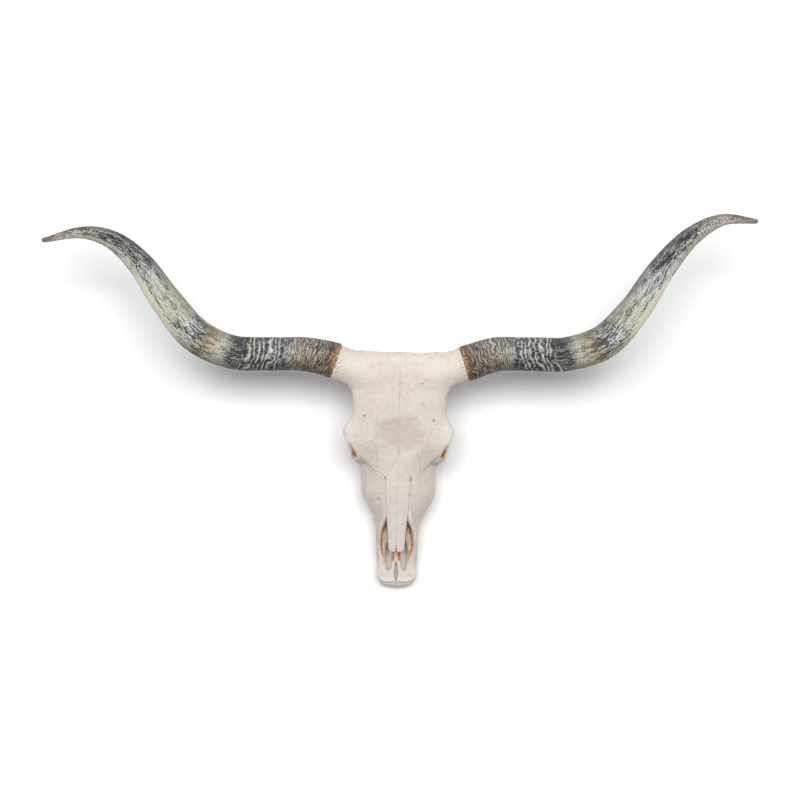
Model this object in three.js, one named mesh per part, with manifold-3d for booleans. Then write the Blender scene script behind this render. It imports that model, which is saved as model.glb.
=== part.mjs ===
// A longhorn steer's skull with its two horn sheaths, in millimetres, at rest on its front cheek teeth and on
// the two processes beside the neck joint. +Z is up, the nose points to -Y and the animal's left is +X.
import * as THREE from "three";
import { mergeVertices } from "three/addons/utils/BufferGeometryUtils.js";
import Module from "manifold-3d";

const wasm = await Module();
wasm.setup();

// Driving sizes, with y = 0 at the poll and z = 0 on the ground.

const SUTURE = 0.3; // gap between neighbouring bones
const BODY_SIDES = 14; // corners of a body's cross-section
const PLAIN_SIDES = 10; // the same for a hidden or plain body
const LIMB_SIDES = 8; // corners of an arch's or a process's cross-section
const HORN_SIDES = 12;
const HORN_STEPS = 18;
const FAR = 2000; // reach of the cutting blocks

// Rows of a body: y, half width, height of the midline, of the widest level and of the underside.
const FOREHEAD = [
  [1, 80, 196, 178, 156],
  [-8, 93, 207, 180, 144],
  [-28, 97, 210, 178, 138],
  [-60, 105, 205, 176, 136],
  [-78, 101, 201, 175, 135],
  [-102, 97, 196, 172, 134],
  [-125, 98, 189, 166, 130],
  [-145, 107, 183, 160, 128],
  [-162, 117, 178, 153, 126],
  [-176, 115.5, 174, 149, 124],
  [-187, 110, 170.5, 147, 120],
  [-197, 98, 166, 144, 115],
  [-214, 80, 158, 138, 106],
];
const FACE = [
  [-150, 50, 172, 120, 60],
  [-180, 70, 169, 112, 48],
  [-210, 86, 163, 104, 42],
  [-237, 76, 155, 88, 34],
  [-262, 76, 147, 76, 28],
  [-300, 77, 134, 64, 24],
  [-325, 65, 125, 56, 24],
  [-348, 53, 112, 50, 26],
  [-374, 46.5, 82, 43, 28],
  [-404, 44, 46, 36, 27],
];
const BRAINCASE = [
  [-6, 52, 178, 118, 66],
  [-30, 64, 186, 112, 52],
  [-80, 62, 182, 112, 50],
  [-120, 50, 176, 114, 56],
  [-165, 44, 170, 116, 62],
];
const NUCHAL_PLATE = [
  [-8, 58, 180, 112, 74],
  [-15, 82, 188, 110, 62],
  [-36, 85, 184, 108, 56],
  [-54, 74, 166, 106, 60],
];
const SKULL_BASE = [
  [-12, 20, 74, 64, 50],
  [-60, 19, 74, 62, 47],
  [-120, 14, 84, 70, 52],
  [-175, 12, 92, 76, 56],
];
const NASALS = [
  [-203, 1.4, 167, 164, 150],
  [-219, 4.5, 162.5, 159, 148],
  [-240, 13, 156.3, 151, 140],
  [-264, 26, 148.3, 141, 134],
  [-300, 25.5, 138, 130, 124],
  [-345, 22.5, 122, 115, 111],
  [-385, 18.8, 108, 102, 99],
  [-406, 17.4, 100, 95, 93],
  [-417, 15.8, 96, 92, 91],
  [-422, 13, 94, 91, 90],
];
const NASAL_CAVITY = [
  [-296, 12, 98, 84, 70],
  [-330, 26, 110, 80, 50],
  [-350, 33, 116, 72, 44],
  [-412, 33, 110, 62, 35],
];
const PALATE_VAULT = [
  [-130, 24, 50, 20, -30],
  [-190, 36, 44, 20, -30],
  [-260, 40, 44, 20, -30],
  [-330, 33, 40, 20, -30],
  [-400, 25, 36, 20, -30],
];
const CHOANAE = [
  [-120, 10, 60, 40, -30],
  [-150, 15, 76, 44, -30],
  [-188, 15, 72, 44, -30],
];
const INCISIVE_PLATE = [
  [-458, 40, 42, 32, 23],
  [-474, 42, 38, 28, 18],
  [-488, 38, 35, 26, 16],
  [-496, 28, 31, 25, 17],
  [-500, 14, 28, 24, 19],
];

// Rows of a limb: x, y, z, half thickness across and half depth.
const HORN_BOSS = [
  [58, -43, 169, 35, 32],
  [98, -32.5, 173, 35.5, 34],
  [140, -18.3, 176.4, 35.2, 35.2],
];
const ARCH = [
  [67, -276, 70, 8, 8],
  [70, -243, 80, 8, 12],
  [90.5, -215, 86, 9, 13],
  [102, -188, 84, 6.5, 11],
  [96, -145, 84, 5, 10],
  [89, -105, 92, 5, 10],
  [82, -74, 96, 7, 10],
  [66, -56, 92, 13, 13],
];
const JUGULAR_PROCESS = [
  [60, -30, 84, 14, 14],
  [59, -29, 44, 8, 12],
  [54, -28, 14, 6, 9],
  [52, -28, -6, 5, 8],
];
const PTERYGOID_PLATE = [
  [21, -118, 66, 3, 12],
  [23, -140, 56, 3.5, 20],
  [24, -170, 52, 4, 20],
  [30, -196, 52, 6, 20],
];
const NASAL_PROCESS = [
  [25, -328, 112, 5, 9],
  [28.5, -350, 98, 5.2, 11],
  [34, -366, 83, 5.5, 11],
  [38, -386, 67, 6, 11],
  [38.8, -408, 51, 5.5, 10],
  [37.5, -438, 40, 5.8, 8],
  [33, -468, 31, 8.5, 7],
];
const INCISIVE_BAR = [
  [33, -394, 37, 11, 8],
  [34, -432, 33, 10.5, 6],
  [30, -468, 28, 13, 6],
];
const PALATINE_PROCESS = [
  [5.2, -385, 40, 4.6, 5],
  [5.4, -424, 35, 5, 5],
  [6, -446, 32, 5.2, 6],
  [7.2, -470, 29, 4.4, 6],
];
const INCISIVE_SLIT = [
  [0, -449, 30, 0.9, 30],
  [0, -458, 30, 2.8, 30],
  [0, -474, 30, 4.2, 30],
  [0, -486, 30, 1.2, 30],
];

// Cheek teeth from front to back: length along the row.
const TEETH = [15, 18, 19, 24, 27, 30];
const TOOTH = {
  sides: 8,
  front: -331, // y of the first tooth's front
  gap: 1,
  width: 21, // across the row
  root: 46, // height where it sits in the bone
  xFront: 49,
  xBack: 57,
  rise: 10, // height of the last crown off the ground
  flat: 2, // number of teeth that touch the ground
  slim: 0.84, // width of those two against the others
  swell: 6, // height of a crown's widest level above its chewing face
};

// Rows of a horn: x, y, z and radius, from the collar to the tip.
const HORN_LEFT = [
  [134, -20.2, 176.2, 37.4],
  [147, -16, 176.8, 37.1],
  [199, 1, 178, 35.5],
  [270, 3, 184, 34.4],
  [348, 5, 200, 35.3],
  [421, 32, 222, 35.6],
  [475, 91, 238, 32.5],
  [537, 187, 249, 26.6],
  [593, 251, 254, 19.6],
  [655, 285, 254, 12.4],
  [728, 284, 250, 4.4],
];
const HORN_RIGHT = [
  [-134, -20.2, 176.2, 37.4],
  [-147, -16, 176.8, 37.1],
  [-199, -7, 178, 35.5],
  [-272, -8, 184, 33.9],
  [-350, -6, 200, 34.9],
  [-422, 25, 222, 35.6],
  [-486, 98, 238, 31.9],
  [-541, 173, 249, 25.8],
  [-596, 217, 254, 19.4],
  [-655, 231, 254, 12.6],
  [-741, 213, 250, 4.4],
];

// Building blocks.

// A closed surface through rings that turn right-handed about the way they advance.
function loft(rings) {
  const sides = rings[0].length;
  const points = rings.flat();
  const index = [];
  for (let i = 0; i + 1 < rings.length; i++)
    for (let j = 0; j < sides; j++) {
      const a = i * sides + j;
      const b = i * sides + ((j + 1) % sides);
      index.push(a, b, a + sides, b, b + sides, a + sides);
    }
  for (const [i, flip] of [[0, true], [rings.length - 1, false]]) {
    const centre = points.length;
    points.push(rings[i].reduce((sum, p) => sum.add(p), new THREE.Vector3()).divideScalar(sides));
    for (let j = 0; j < sides; j++) {
      const a = i * sides + j;
      const b = i * sides + ((j + 1) % sides);
      index.push(centre, flip ? b : a, flip ? a : b);
    }
  }
  const geometry = new THREE.BufferGeometry().setFromPoints(points);
  geometry.setIndex(index);
  return solid(geometry);
}

// A geometry as a solid that can be joined and cut.
function solid(geometry) {
  geometry.deleteAttribute("normal");
  geometry.deleteAttribute("uv");
  const merged = mergeVertices(geometry, 1e-4);
  return new wasm.Manifold(
    new wasm.Mesh({
      numProp: 3,
      vertProperties: merged.attributes.position.array,
      triVerts: new Uint32Array(merged.index.array),
    }),
  );
}

// Point of a superellipse with half axes 1: power 2 is round, more is squarer.
function roundedSquare(angle, power) {
  const bend = (v) => Math.sign(v) * Math.abs(v) ** (2 / power);
  return [bend(Math.cos(angle)), bend(Math.sin(angle))];
}

// A body symmetric about x = 0 through its rows, grown by a margin where it is wanted as a cutter.
function body(rows, { upper = 2.4, lower = 2.4, margin = 0, sides = BODY_SIDES } = {}) {
  const first = rows[0][0];
  const last = rows[rows.length - 1][0];
  return loft(
    rows.map(([y, half, top, side, bottom]) =>
      Array.from({ length: sides }, (_, j) => {
        const angle = (2 * Math.PI * j) / sides;
        const [across, up] = roundedSquare(angle, angle <= Math.PI ? upper : lower);
        const reach = (up > 0 ? top - side : side - bottom) + margin;
        const end = y === first ? margin : y === last ? -margin : 0;
        return new THREE.Vector3(across * (half + margin), y + end, side + up * reach);
      }),
    ),
  );
}

// The smooth curve through the points that its rows start with.
function pathThrough(rows) {
  const points = rows.map(([x, y, z]) => new THREE.Vector3(x, y, z));
  return new THREE.CatmullRomCurve3(points, false, "centripetal");
}

// A tapering tube through points with its own two half sizes at each; `up` is the way the depth points.
function limb(rows, { sides = LIMB_SIDES, steps = 8, up = [0, 0, 1], power = 2 } = {}) {
  const path = pathThrough(rows);
  const upward = new THREE.Vector3(...up);
  const rings = [];
  for (let i = 0; i <= steps; i++) {
    const at = (i / steps) * (rows.length - 1);
    const row = Math.min(Math.floor(at), rows.length - 2);
    const size = (k) => THREE.MathUtils.lerp(rows[row][k], rows[row + 1][k], at - row);
    const centre = path.getPoint(i / steps);
    const along = path.getTangent(i / steps);
    const across = new THREE.Vector3().crossVectors(upward, along).normalize();
    const depth = new THREE.Vector3().crossVectors(along, across);
    rings.push(
      Array.from({ length: sides }, (_, j) => {
        const [a, b] = roundedSquare((2 * Math.PI * j) / sides, power);
        return centre.clone().addScaledVector(across, a * size(3)).addScaledVector(depth, b * size(4));
      }),
    );
  }
  return loft(rings);
}

// A ball squeezed to three half sizes.
function lump([x, y, z], [rx, ry, rz], detail = 10) {
  const ball = new THREE.SphereGeometry(1, detail, Math.round(detail * 0.7));
  return solid(ball.scale(rx, ry, rz).translate(x, y, z));
}

function block(width, depth, height, x, y, z) {
  return solid(new THREE.BoxGeometry(width, depth, height).translate(x, y, z));
}

// A solid's image across the midline: x changes sign, and so does the turn of every triangle.
function mirrored(shape) {
  const { numProp, vertProperties, triVerts } = shape.getMesh();
  return new wasm.Manifold(
    new wasm.Mesh({
      numProp,
      vertProperties: vertProperties.map((value, i) => (i % numProp ? value : -value)),
      triVerts: triVerts.slice().reverse(),
    }),
  );
}

const bothSides = (shape) => shape.add(mirrored(shape));
const join = (...shapes) => wasm.Manifold.union(shapes);

// The space on the near side of every plane [nx, ny, nz, reach], each moved out by a margin.
function region(planes, margin = 0) {
  return planes.reduce((space, [x, y, z, reach]) => {
    const length = Math.hypot(x, y, z);
    return space.trimByPlane([-x / length, -y / length, -z / length], -reach / length - margin);
  }, block(FAR, FAR, FAR, 0, 0, 0));
}

// The largest single body, without the crumbs that a cut leaves.
function whole(shape) {
  return shape.decompose().reduce((best, part) => (part.volume() > best.volume() ? part : best));
}

// The skull.

function cheekTeeth() {
  const rowLength = TEETH.reduce((sum, length) => sum + length + TOOTH.gap, 0);
  let front = TOOTH.front;
  const teeth = TEETH.map((length, i) => {
    const y = front + length / 2;
    const along = (y - TOOTH.front) / rowLength;
    front += length + TOOTH.gap;
    const x = THREE.MathUtils.lerp(TOOTH.xFront, TOOTH.xBack, along);
    const half = (TOOTH.width / 2) * (i < TOOTH.flat ? TOOTH.slim : 1);
    const bottom = i < TOOTH.flat ? 0 : TOOTH.rise * along;
    const levels = [[bottom, 0.9], [bottom + TOOTH.swell, 1], [TOOTH.root, 0.94]];
    return loft(
      levels.map(([z, scale]) =>
        Array.from({ length: TOOTH.sides }, (_, j) => {
          const [a, b] = roundedSquare((2 * Math.PI * (j + 0.5)) / TOOTH.sides, 3);
          return new THREE.Vector3(x + a * half * scale, y + (b * length * scale) / 2, z);
        }),
      ),
    );
  });
  const gum = limb(
    [
      [TOOTH.xFront, TOOTH.front - 4, 34, 9, 12],
      [TOOTH.xFront + 5, -250, 36, 12, 16],
      [TOOTH.xBack, TOOTH.front + rowLength + 4, 44, 11, 18],
    ],
    { power: 2.8, steps: 5 },
  );
  return join(...teeth, gum);
}

// The plane where a horn's base ring meets the bone, square to the horn's own start.
function collarPlane() {
  const [start, next] = HORN_LEFT.map(([x, y, z]) => new THREE.Vector3(x, y, z));
  const along = next.sub(start).normalize();
  return [...along.toArray(), along.dot(start)];
}

function cranium() {
  const sides = [
    limb(HORN_BOSS, { sides: HORN_SIDES, steps: 3 }).intersect(region([collarPlane()])),
    limb(ARCH),
    lump([82, -189, 117], [30, 42, 40]), // ring of bone round the eye
    limb(JUGULAR_PROCESS, { up: [0, 1, 0], steps: 3 }),
    limb(PTERYGOID_PLATE, { steps: 3 }),
    lump([25, -12, 62], [15, 14, 19], 8), // joint knob beside the spinal opening
    lump([40, -64, 56], [13, 20, 20], 8), // ear capsule
    lump([66, -52, 90], [20, 16, 26], 8), // root of the arch behind the jaw joint
    cheekTeeth(),
  ];
  const bulk = join(
    body(FOREHEAD, { upper: 2.3, lower: 2.6 }),
    body(FACE, { upper: 1.75, lower: 3 }),
    body(BRAINCASE, { sides: PLAIN_SIDES }),
    body(NUCHAL_PLATE, { sides: PLAIN_SIDES }),
    body(SKULL_BASE, { sides: PLAIN_SIDES }),
    ...sides.map(bothSides),
  );
  const openings = join(
    body(NASALS, { upper: 2, lower: 2.6, margin: SUTURE }),
    body(NASAL_CAVITY, { sides: PLAIN_SIDES }),
    body(PALATE_VAULT, { upper: 2.6, sides: PLAIN_SIDES }),
    body(CHOANAE, { sides: PLAIN_SIDES }),
    lump([0, -3, 77], [16, 24, 15]), // spinal opening
    bothSides(lump([107, -190, 121], [42, 31, 29])), // eye socket
    bothSides(lump([79, -112, 122], [22, 38, 28], 8)), // hollow for the jaw muscle
    region([[0, 0, 1, 0]]), // ground: the teeth and the processes end in small flats
  );
  return bulk.subtract(openings);
}

function nasalPair() {
  return body(NASALS, { upper: 2, lower: 2.6 }).subtract(
    limb([[0, -408, 70, 0.8, 40], [0, -425, 70, 3, 40]], { sides: 4, steps: 1 }), // notch between the tips
  );
}

function incisivePair() {
  const slit = limb(INCISIVE_SLIT, { sides: 4, steps: 3 });
  return join(
    body(INCISIVE_PLATE, { sides: PLAIN_SIDES }).subtract(
      bothSides(lump([17, -450, 30], [8.5, 20, 30], 8)), // front end of the opening through the palate
    ),
    bothSides(limb(NASAL_PROCESS, { steps: 5 })),
    bothSides(limb(INCISIVE_BAR, { steps: 3 })),
    bothSides(limb(PALATINE_PROCESS, { steps: 3 })),
  ).subtract(slit);
}

// Where each bone lies: planes [nx, ny, nz, reach] keep the points with n.p <= reach.
const REGIONS = {
  occipital: [[0, -1, 0, 42], [0, 0, 1, 158], [1, 0, 0, 64], [-1, 0, 0, 64]],
  sphenoid: [[0, 1, 0, -42], [0, -1, 0, 148], [0, 0, 1, 84], [1, 0, 0, 35], [-1, 0, 0, 35]],
  palatine: [[0, 1, 0, -148], [0, -1, 0, 214], [0, 0, 1, 92], [1, 0, 0, 40], [-1, 0, 0, 40]],
  incisive: [[0, 72, -67, -31490]],
  lacrimal: [[-1, 0, 0, -47], [19, 45, 0, -7342], [34, -36, 0, 10694], [0, 0, -1, -100]],
  frontal: [[17, -26, 0, 7323], [34, -36, 0, 10694], [0, 0.13, -1, -138]],
  zygomatic: [[-1, 0, 0, -70], [0, -1, 0, 290], [0, 1, 0.5, -92], [0, 0, -1, -58]],
  temporal: [[0, -1, 0, 150]],
};

function bones() {
  const parts = {};
  let rest = cranium();
  const carve = (name) => {
    parts[name] = whole(rest.intersect(region(REGIONS[name])));
    rest = rest.subtract(region(REGIONS[name], SUTURE));
  };
  carve("occipital");
  carve("sphenoid");
  carve("palatine");
  const incisiveSpace = region(REGIONS.incisive, -SUTURE);
  rest = rest.subtract(region(REGIONS.incisive)).trimByPlane([1, 0, 0], SUTURE / 2);
  carve("lacrimal");
  carve("frontal");
  carve("zygomatic");
  carve("temporal");
  parts.maxilla = whole(rest);
  parts.nasal = whole(nasalPair().trimByPlane([1, 0, 0], SUTURE / 2));
  parts.premaxilla = whole(
    incisivePair()
      .intersect(incisiveSpace)
      .subtract(body(NASALS, { upper: 2, lower: 2.6, margin: SUTURE }))
      .trimByPlane([1, 0, 0], SUTURE / 2),
  );
  return parts;
}

// A horn sheath: the tube through its rows, its base ring clear of the bone by the suture.
function horn(rows) {
  const path = pathThrough(rows);
  const frames = path.computeFrenetFrames(HORN_STEPS, false);
  const rings = [];
  for (let i = 0; i <= HORN_STEPS; i++) {
    const at = path.getUtoTmapping(i / HORN_STEPS) * (rows.length - 1);
    const row = Math.min(Math.floor(at), rows.length - 2);
    const radius = THREE.MathUtils.lerp(rows[row][3], rows[row + 1][3], at - row);
    const centre = path.getPointAt(i / HORN_STEPS).addScaledVector(frames.tangents[i], i ? 0 : SUTURE);
    rings.push(
      Array.from({ length: HORN_SIDES }, (_, j) => {
        const angle = (2 * Math.PI * j) / HORN_SIDES;
        return centre
          .clone()
          .addScaledVector(frames.normals[i], radius * Math.cos(angle))
          .addScaledVector(frames.binormals[i], radius * Math.sin(angle));
      }),
    );
  }
  return loft(rings);
}

// Named nodes.

const BONE = { color: "#ded5c8", roughness: 0.72, metalness: 0 };
const HORN = { color: "#8d8375", roughness: 0.42, metalness: 0 };

function node(name, shape, look) {
  const { numProp, vertProperties, triVerts } = shape.getMesh();
  const geometry = new THREE.BufferGeometry();
  const points = new THREE.InterleavedBuffer(vertProperties, numProp);
  geometry.setAttribute("position", new THREE.InterleavedBufferAttribute(points, 3, 0));
  geometry.setIndex(new THREE.BufferAttribute(triVerts, 1));
  const mesh = new THREE.Mesh(geometry, new THREE.MeshStandardMaterial({ name, ...look }));
  mesh.name = name;
  return mesh;
}

const MIDLINE = ["occipital", "sphenoid", "palatine"];
const skull = new THREE.Group();
for (const [name, shape] of Object.entries(bones()))
  if (MIDLINE.includes(name)) skull.add(node(name, shape, BONE));
  else skull.add(node(`${name}_left`, shape, BONE), node(`${name}_right`, mirrored(shape), BONE));
skull.add(node("horn_left", horn(HORN_LEFT), HORN), node("horn_right", horn(HORN_RIGHT), HORN));

// The origin is the bottom centre of the bounding box.
const box = new THREE.Box3().setFromObject(skull);
const centre = box.getCenter(new THREE.Vector3());
skull.position.set(-centre.x, -centre.y, -box.min.z);

const part = new THREE.Group();
part.add(skull);
export default part;
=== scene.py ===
import math

import bpy
import numpy as np
import openvdb
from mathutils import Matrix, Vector


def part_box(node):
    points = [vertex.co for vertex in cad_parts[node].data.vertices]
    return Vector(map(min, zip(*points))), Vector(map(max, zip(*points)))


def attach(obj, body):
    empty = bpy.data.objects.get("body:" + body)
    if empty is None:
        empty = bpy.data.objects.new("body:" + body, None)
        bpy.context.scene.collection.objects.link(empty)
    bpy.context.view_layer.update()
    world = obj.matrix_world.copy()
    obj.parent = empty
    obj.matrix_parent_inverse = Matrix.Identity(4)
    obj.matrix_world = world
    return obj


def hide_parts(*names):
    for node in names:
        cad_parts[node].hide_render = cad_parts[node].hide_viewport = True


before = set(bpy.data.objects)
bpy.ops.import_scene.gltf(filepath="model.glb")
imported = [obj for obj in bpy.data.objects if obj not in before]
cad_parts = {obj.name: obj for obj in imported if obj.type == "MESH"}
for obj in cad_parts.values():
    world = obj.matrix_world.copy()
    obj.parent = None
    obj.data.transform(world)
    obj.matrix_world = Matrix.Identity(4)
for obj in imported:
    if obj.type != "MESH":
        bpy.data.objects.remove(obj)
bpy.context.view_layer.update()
print("frame loaded:", len(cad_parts), "nodes")

# The tables are millimetres with y = 0 at the poll (the ridge between the horns), z = 0 on the ground and
# the animal's left at +x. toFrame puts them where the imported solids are.
poll = {
    "suture": 0.3,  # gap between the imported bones
    "noseTip": -500.0,
}
toFrame = np.array(
    [
        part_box("frontal_left")[0][0] * 1000 - poll["suture"] / 2,
        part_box("premaxilla_left")[0][1] * 1000 - poll["noseTip"],
        0.0,
    ]
)


def hermite(t, a, b, slopeA, slopeB):
    return (
        (2 * t**3 - 3 * t**2 + 1) * a
        + (t**3 - 2 * t**2 + t) * slopeA
        + (3 * t**2 - 2 * t**3) * b
        + (t**3 - t**2) * slopeB
    )


def eased(at, knots, values):
    slopes = np.gradient(values, knots)
    at = np.clip(at, knots[0], knots[-1])
    i = np.clip(np.searchsorted(knots, at) - 1, 0, len(knots) - 2)
    span = knots[i + 1] - knots[i]
    return hermite(
        (at - knots[i]) / span, values[i], values[i + 1], slopes[i] * span, slopes[i + 1] * span
    ).astype(np.float32)


def fade(value, start, end):
    t = np.clip((value - start) / (end - start), 0, 1)
    return t * t * (3 - 2 * t)


def between(value, start, full, lastFull, end):
    return fade(value, start, full) * fade(value, end, lastFull)


# centripetal curve through rows whose first three columns are a place; the other columns follow along
def through(rows, pieces):
    rows = np.array(rows, float)
    ends = np.vstack([2 * rows[0] - rows[1], rows, 2 * rows[-1] - rows[-2]])
    t = np.linspace(0, 1, pieces, endpoint=False)[:, None]
    out = []
    for a, b, c, d in zip(ends, ends[1:], ends[2:], ends[3:]):
        before, span, after = (np.linalg.norm((q - p)[:3]) ** 0.5 for p, q in ((a, b), (b, c), (c, d)))
        start = ((b - a) / before - (c - a) / (before + span) + (c - b) / span) * span
        end = ((c - b) / span - (d - b) / (span + after) + (d - c) / after) * span
        out.append(hermite(t, b, c, start, end))
    return np.vstack(out + [rows[-1:]])


noiseWays = np.random.default_rng(11).normal(size=(1024, 3)).astype(np.float32)
noiseWays /= np.linalg.norm(noiseWays, axis=1, keepdims=True)


def hashed(cell, seed):
    mixed = cell[:, 0] * 73856093 ^ cell[:, 1] * 19349663 ^ cell[:, 2] * 83492791 ^ seed * 2654435761
    return (mixed ^ (mixed >> 13)) & 1023


# smooth noise of about -1 to 1 whose lumps are `size` mm across
def lumps(points, size, seed=0):
    p = (points / np.array(size, np.float32)).astype(np.float32)
    base = np.floor(p).astype(np.int64)
    f = p - base
    w = f * f * f * (f * (f * 6 - 15) + 10)
    total = np.zeros(len(p), np.float32)
    for corner in np.ndindex(2, 2, 2):
        way = noiseWays[hashed(base + np.array(corner), seed)]
        weight = np.prod(np.where(np.array(corner) == 1, w, 1 - w), axis=1)
        total += weight * np.einsum("ij,ij->i", way, f - np.array(corner, np.float32))
    return total * 1.6


# distance in cells to the nearest of scattered specks that are `size` mm apart
def specks(points, size, seed=0):
    p = (points / np.array(size, np.float32)).astype(np.float32)
    base = np.floor(p).astype(np.int64)
    best = np.full(len(p), 9.0, np.float32)
    for corner in np.ndindex(3, 3, 3):
        cell = base + np.array(corner) - 1
        speck = cell + 0.5 + 0.5 * noiseWays[hashed(cell, seed)]
        best = np.minimum(best, np.linalg.norm(p - speck, axis=1))
    return best


# distance in plan from points to a line of places
def offLine(points, line):
    best = np.full(len(points), 99.0)
    for a, b in zip(np.array(line, float), np.array(line, float)[1:]):
        along = b - a
        t = np.clip((points[:, :2] - a) @ along / (along @ along), 0, 1)
        best = np.minimum(best, np.linalg.norm(points[:, :2] - a - t[:, None] * along, axis=1))
    return best


lattice = {
    "step": 1.2,
    "spare": 3,  # steps kept beyond the midline
    "reach": 14,  # mm round a shape in which its distance is worked out
    "low": (-507.0, -4.0),
    "high": (150.0, 26.0, 220.0),
}
step = lattice["step"]
axes = [
    np.arange(low, high, step, dtype=np.float32)
    for low, high in zip((-lattice["spare"] * step, *lattice["low"]), lattice["high"])
]
empty = 60.0  # distance written where nothing is near


def newField():
    return np.full([len(axis) for axis in axes], empty, np.float32)


# the part of the lattice within reach of a box, and its coordinates with x folded onto the left half
def window(low, high, reach):
    low = [-99 if low[0] - reach < step * lattice["spare"] else low[0], *low[1:]]
    cut = tuple(
        slice(np.searchsorted(axis, a - reach), np.searchsorted(axis, b + reach))
        for axis, a, b in zip(axes, low, high)
    )
    x, y, z = (axis[part] for axis, part in zip(axes, cut))
    return cut, np.abs(x)[:, None, None], y[None, :, None], z[None, None, :]


def softLow(a, b, soft):
    near = np.maximum(soft - np.abs(a - b), 0)
    return np.minimum(a, b) - near * near / (4 * soft)


def softHigh(a, b, soft):
    return -softLow(-a, -b, soft)


def join(field, shape, soft):
    cut, distance = shape
    field[cut] = softLow(field[cut], distance, soft)


def carve(field, shape, soft):
    cut, distance = shape
    field[cut] = softHigh(field[cut], -distance, soft)


# rounded-square sections through rows of y, half width, top, widest level and underside
def body(rows, upper=2.4, lower=2.4, ends=4.0):
    rows = np.array(rows, float)[::-1]
    knots = rows[:, 0]
    low = (0, knots[0], rows[:, 4].min())
    high = (rows[:, 1].max(), knots[-1], rows[:, 2].max())
    cut, x, y, z = window(low, high, lattice["reach"])
    half, top, side, bottom = (eased(y, knots, rows[:, k]) for k in (1, 2, 3, 4))
    rise = z - side
    reach = np.where(rise > 0, top - side, side - bottom)
    power = np.where(rise > 0, upper, lower).astype(np.float32)
    u = x / half + 1e-4
    v = np.abs(rise) / reach + 1e-4
    scale = (u**power + v**power) ** (1 / power)
    slope = scale ** (1 - power) * np.hypot(u ** (power - 1) / half, v ** (power - 1) / reach)
    past = np.maximum(knots[0] - y, y - knots[-1])
    return cut, softHigh((scale - 1) / slope, past, ends)


def ovalDistance(parts, radii):
    near = np.sqrt(sum((p / r) ** 2 for p, r in zip(parts, radii)))
    steep = np.sqrt(sum((p / r**2) ** 2 for p, r in zip(parts, radii))) + 1e-6
    return near * (near - 1) / steep


def ball(centre, radii):
    centre, radii = np.array(centre, float), np.array(radii, float)
    cut, x, y, z = window(centre - radii, centre + radii, lattice["reach"] + 2)
    return cut, ovalDistance((x - centre[0], y - centre[1], z - centre[2]), radii)


# oval tube through rows of x, y, z, half thickness across and half depth
def tube(rows, up=(0, 0, 1), pieces=5):
    path = through(rows, pieces)
    fat = path[:, 3:5].max()
    cut, x, y, z = window(path[:, :3].min(0), path[:, :3].max(0), fat + lattice["reach"])
    best = np.full(np.broadcast_shapes(x.shape, y.shape, z.shape), empty, np.float32)
    for a, b in zip(path, path[1:]):
        along = (b - a)[:3]
        length = np.linalg.norm(along)
        along = along / length
        across = np.cross(up, along)
        across /= np.linalg.norm(across)
        depth = np.cross(along, across)
        dx, dy, dz = x - a[0], y - a[1], z - a[2]
        ahead, sideways, high = (dx * w[0] + dy * w[1] + dz * w[2] for w in (along, across, depth))
        t = np.clip(ahead / length, 0, 1)
        wide = a[3] + (b[3] - a[3]) * t
        deep = a[4] + (b[4] - a[4]) * t
        parts = (ahead - t * length, sideways, high)
        best = np.minimum(best, ovalDistance(parts, (np.minimum(wide, deep), wide, deep)))
    return cut, best


# parts of the head: rows for body or tube, or a centre and radii for ball
forehead = {
    "rows": [
        [1, 80, 196, 178, 156],
        [-8, 93, 207, 180, 144],
        [-28, 97, 210, 178, 138],
        [-60, 105, 205, 176, 136],
        [-78, 101, 201, 175, 135],
        [-102, 97, 196, 172, 134],
        [-125, 98, 189, 166, 130],
        [-145, 107, 183, 160, 128],
        [-162, 117, 178, 153, 126],
        [-176, 115.5, 174, 149, 124],
        [-187, 110, 170.5, 147, 120],
        [-197, 98, 166, 144, 115],
        [-214, 80, 156, 138, 110],
        [-236, 60, 145, 130, 106],
        [-258, 40, 134, 122, 102],
    ],
    "upper": 2.3,
    "lower": 2.6,
}
face = {
    "rows": [
        [-150, 50, 172, 120, 60],
        [-180, 70, 169, 112, 48],
        [-210, 86, 163, 104, 42],
        [-237, 76, 155, 88, 34],
        [-262, 76, 147, 76, 28],
        [-300, 77, 134, 64, 24],
        [-325, 65, 125, 56, 24],
        [-348, 53, 112, 50, 26],
        [-374, 46.5, 82, 43, 28],
        [-404, 44, 46, 36, 27],
    ],
    "upper": 1.75,
    "lower": 3,
}
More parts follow.
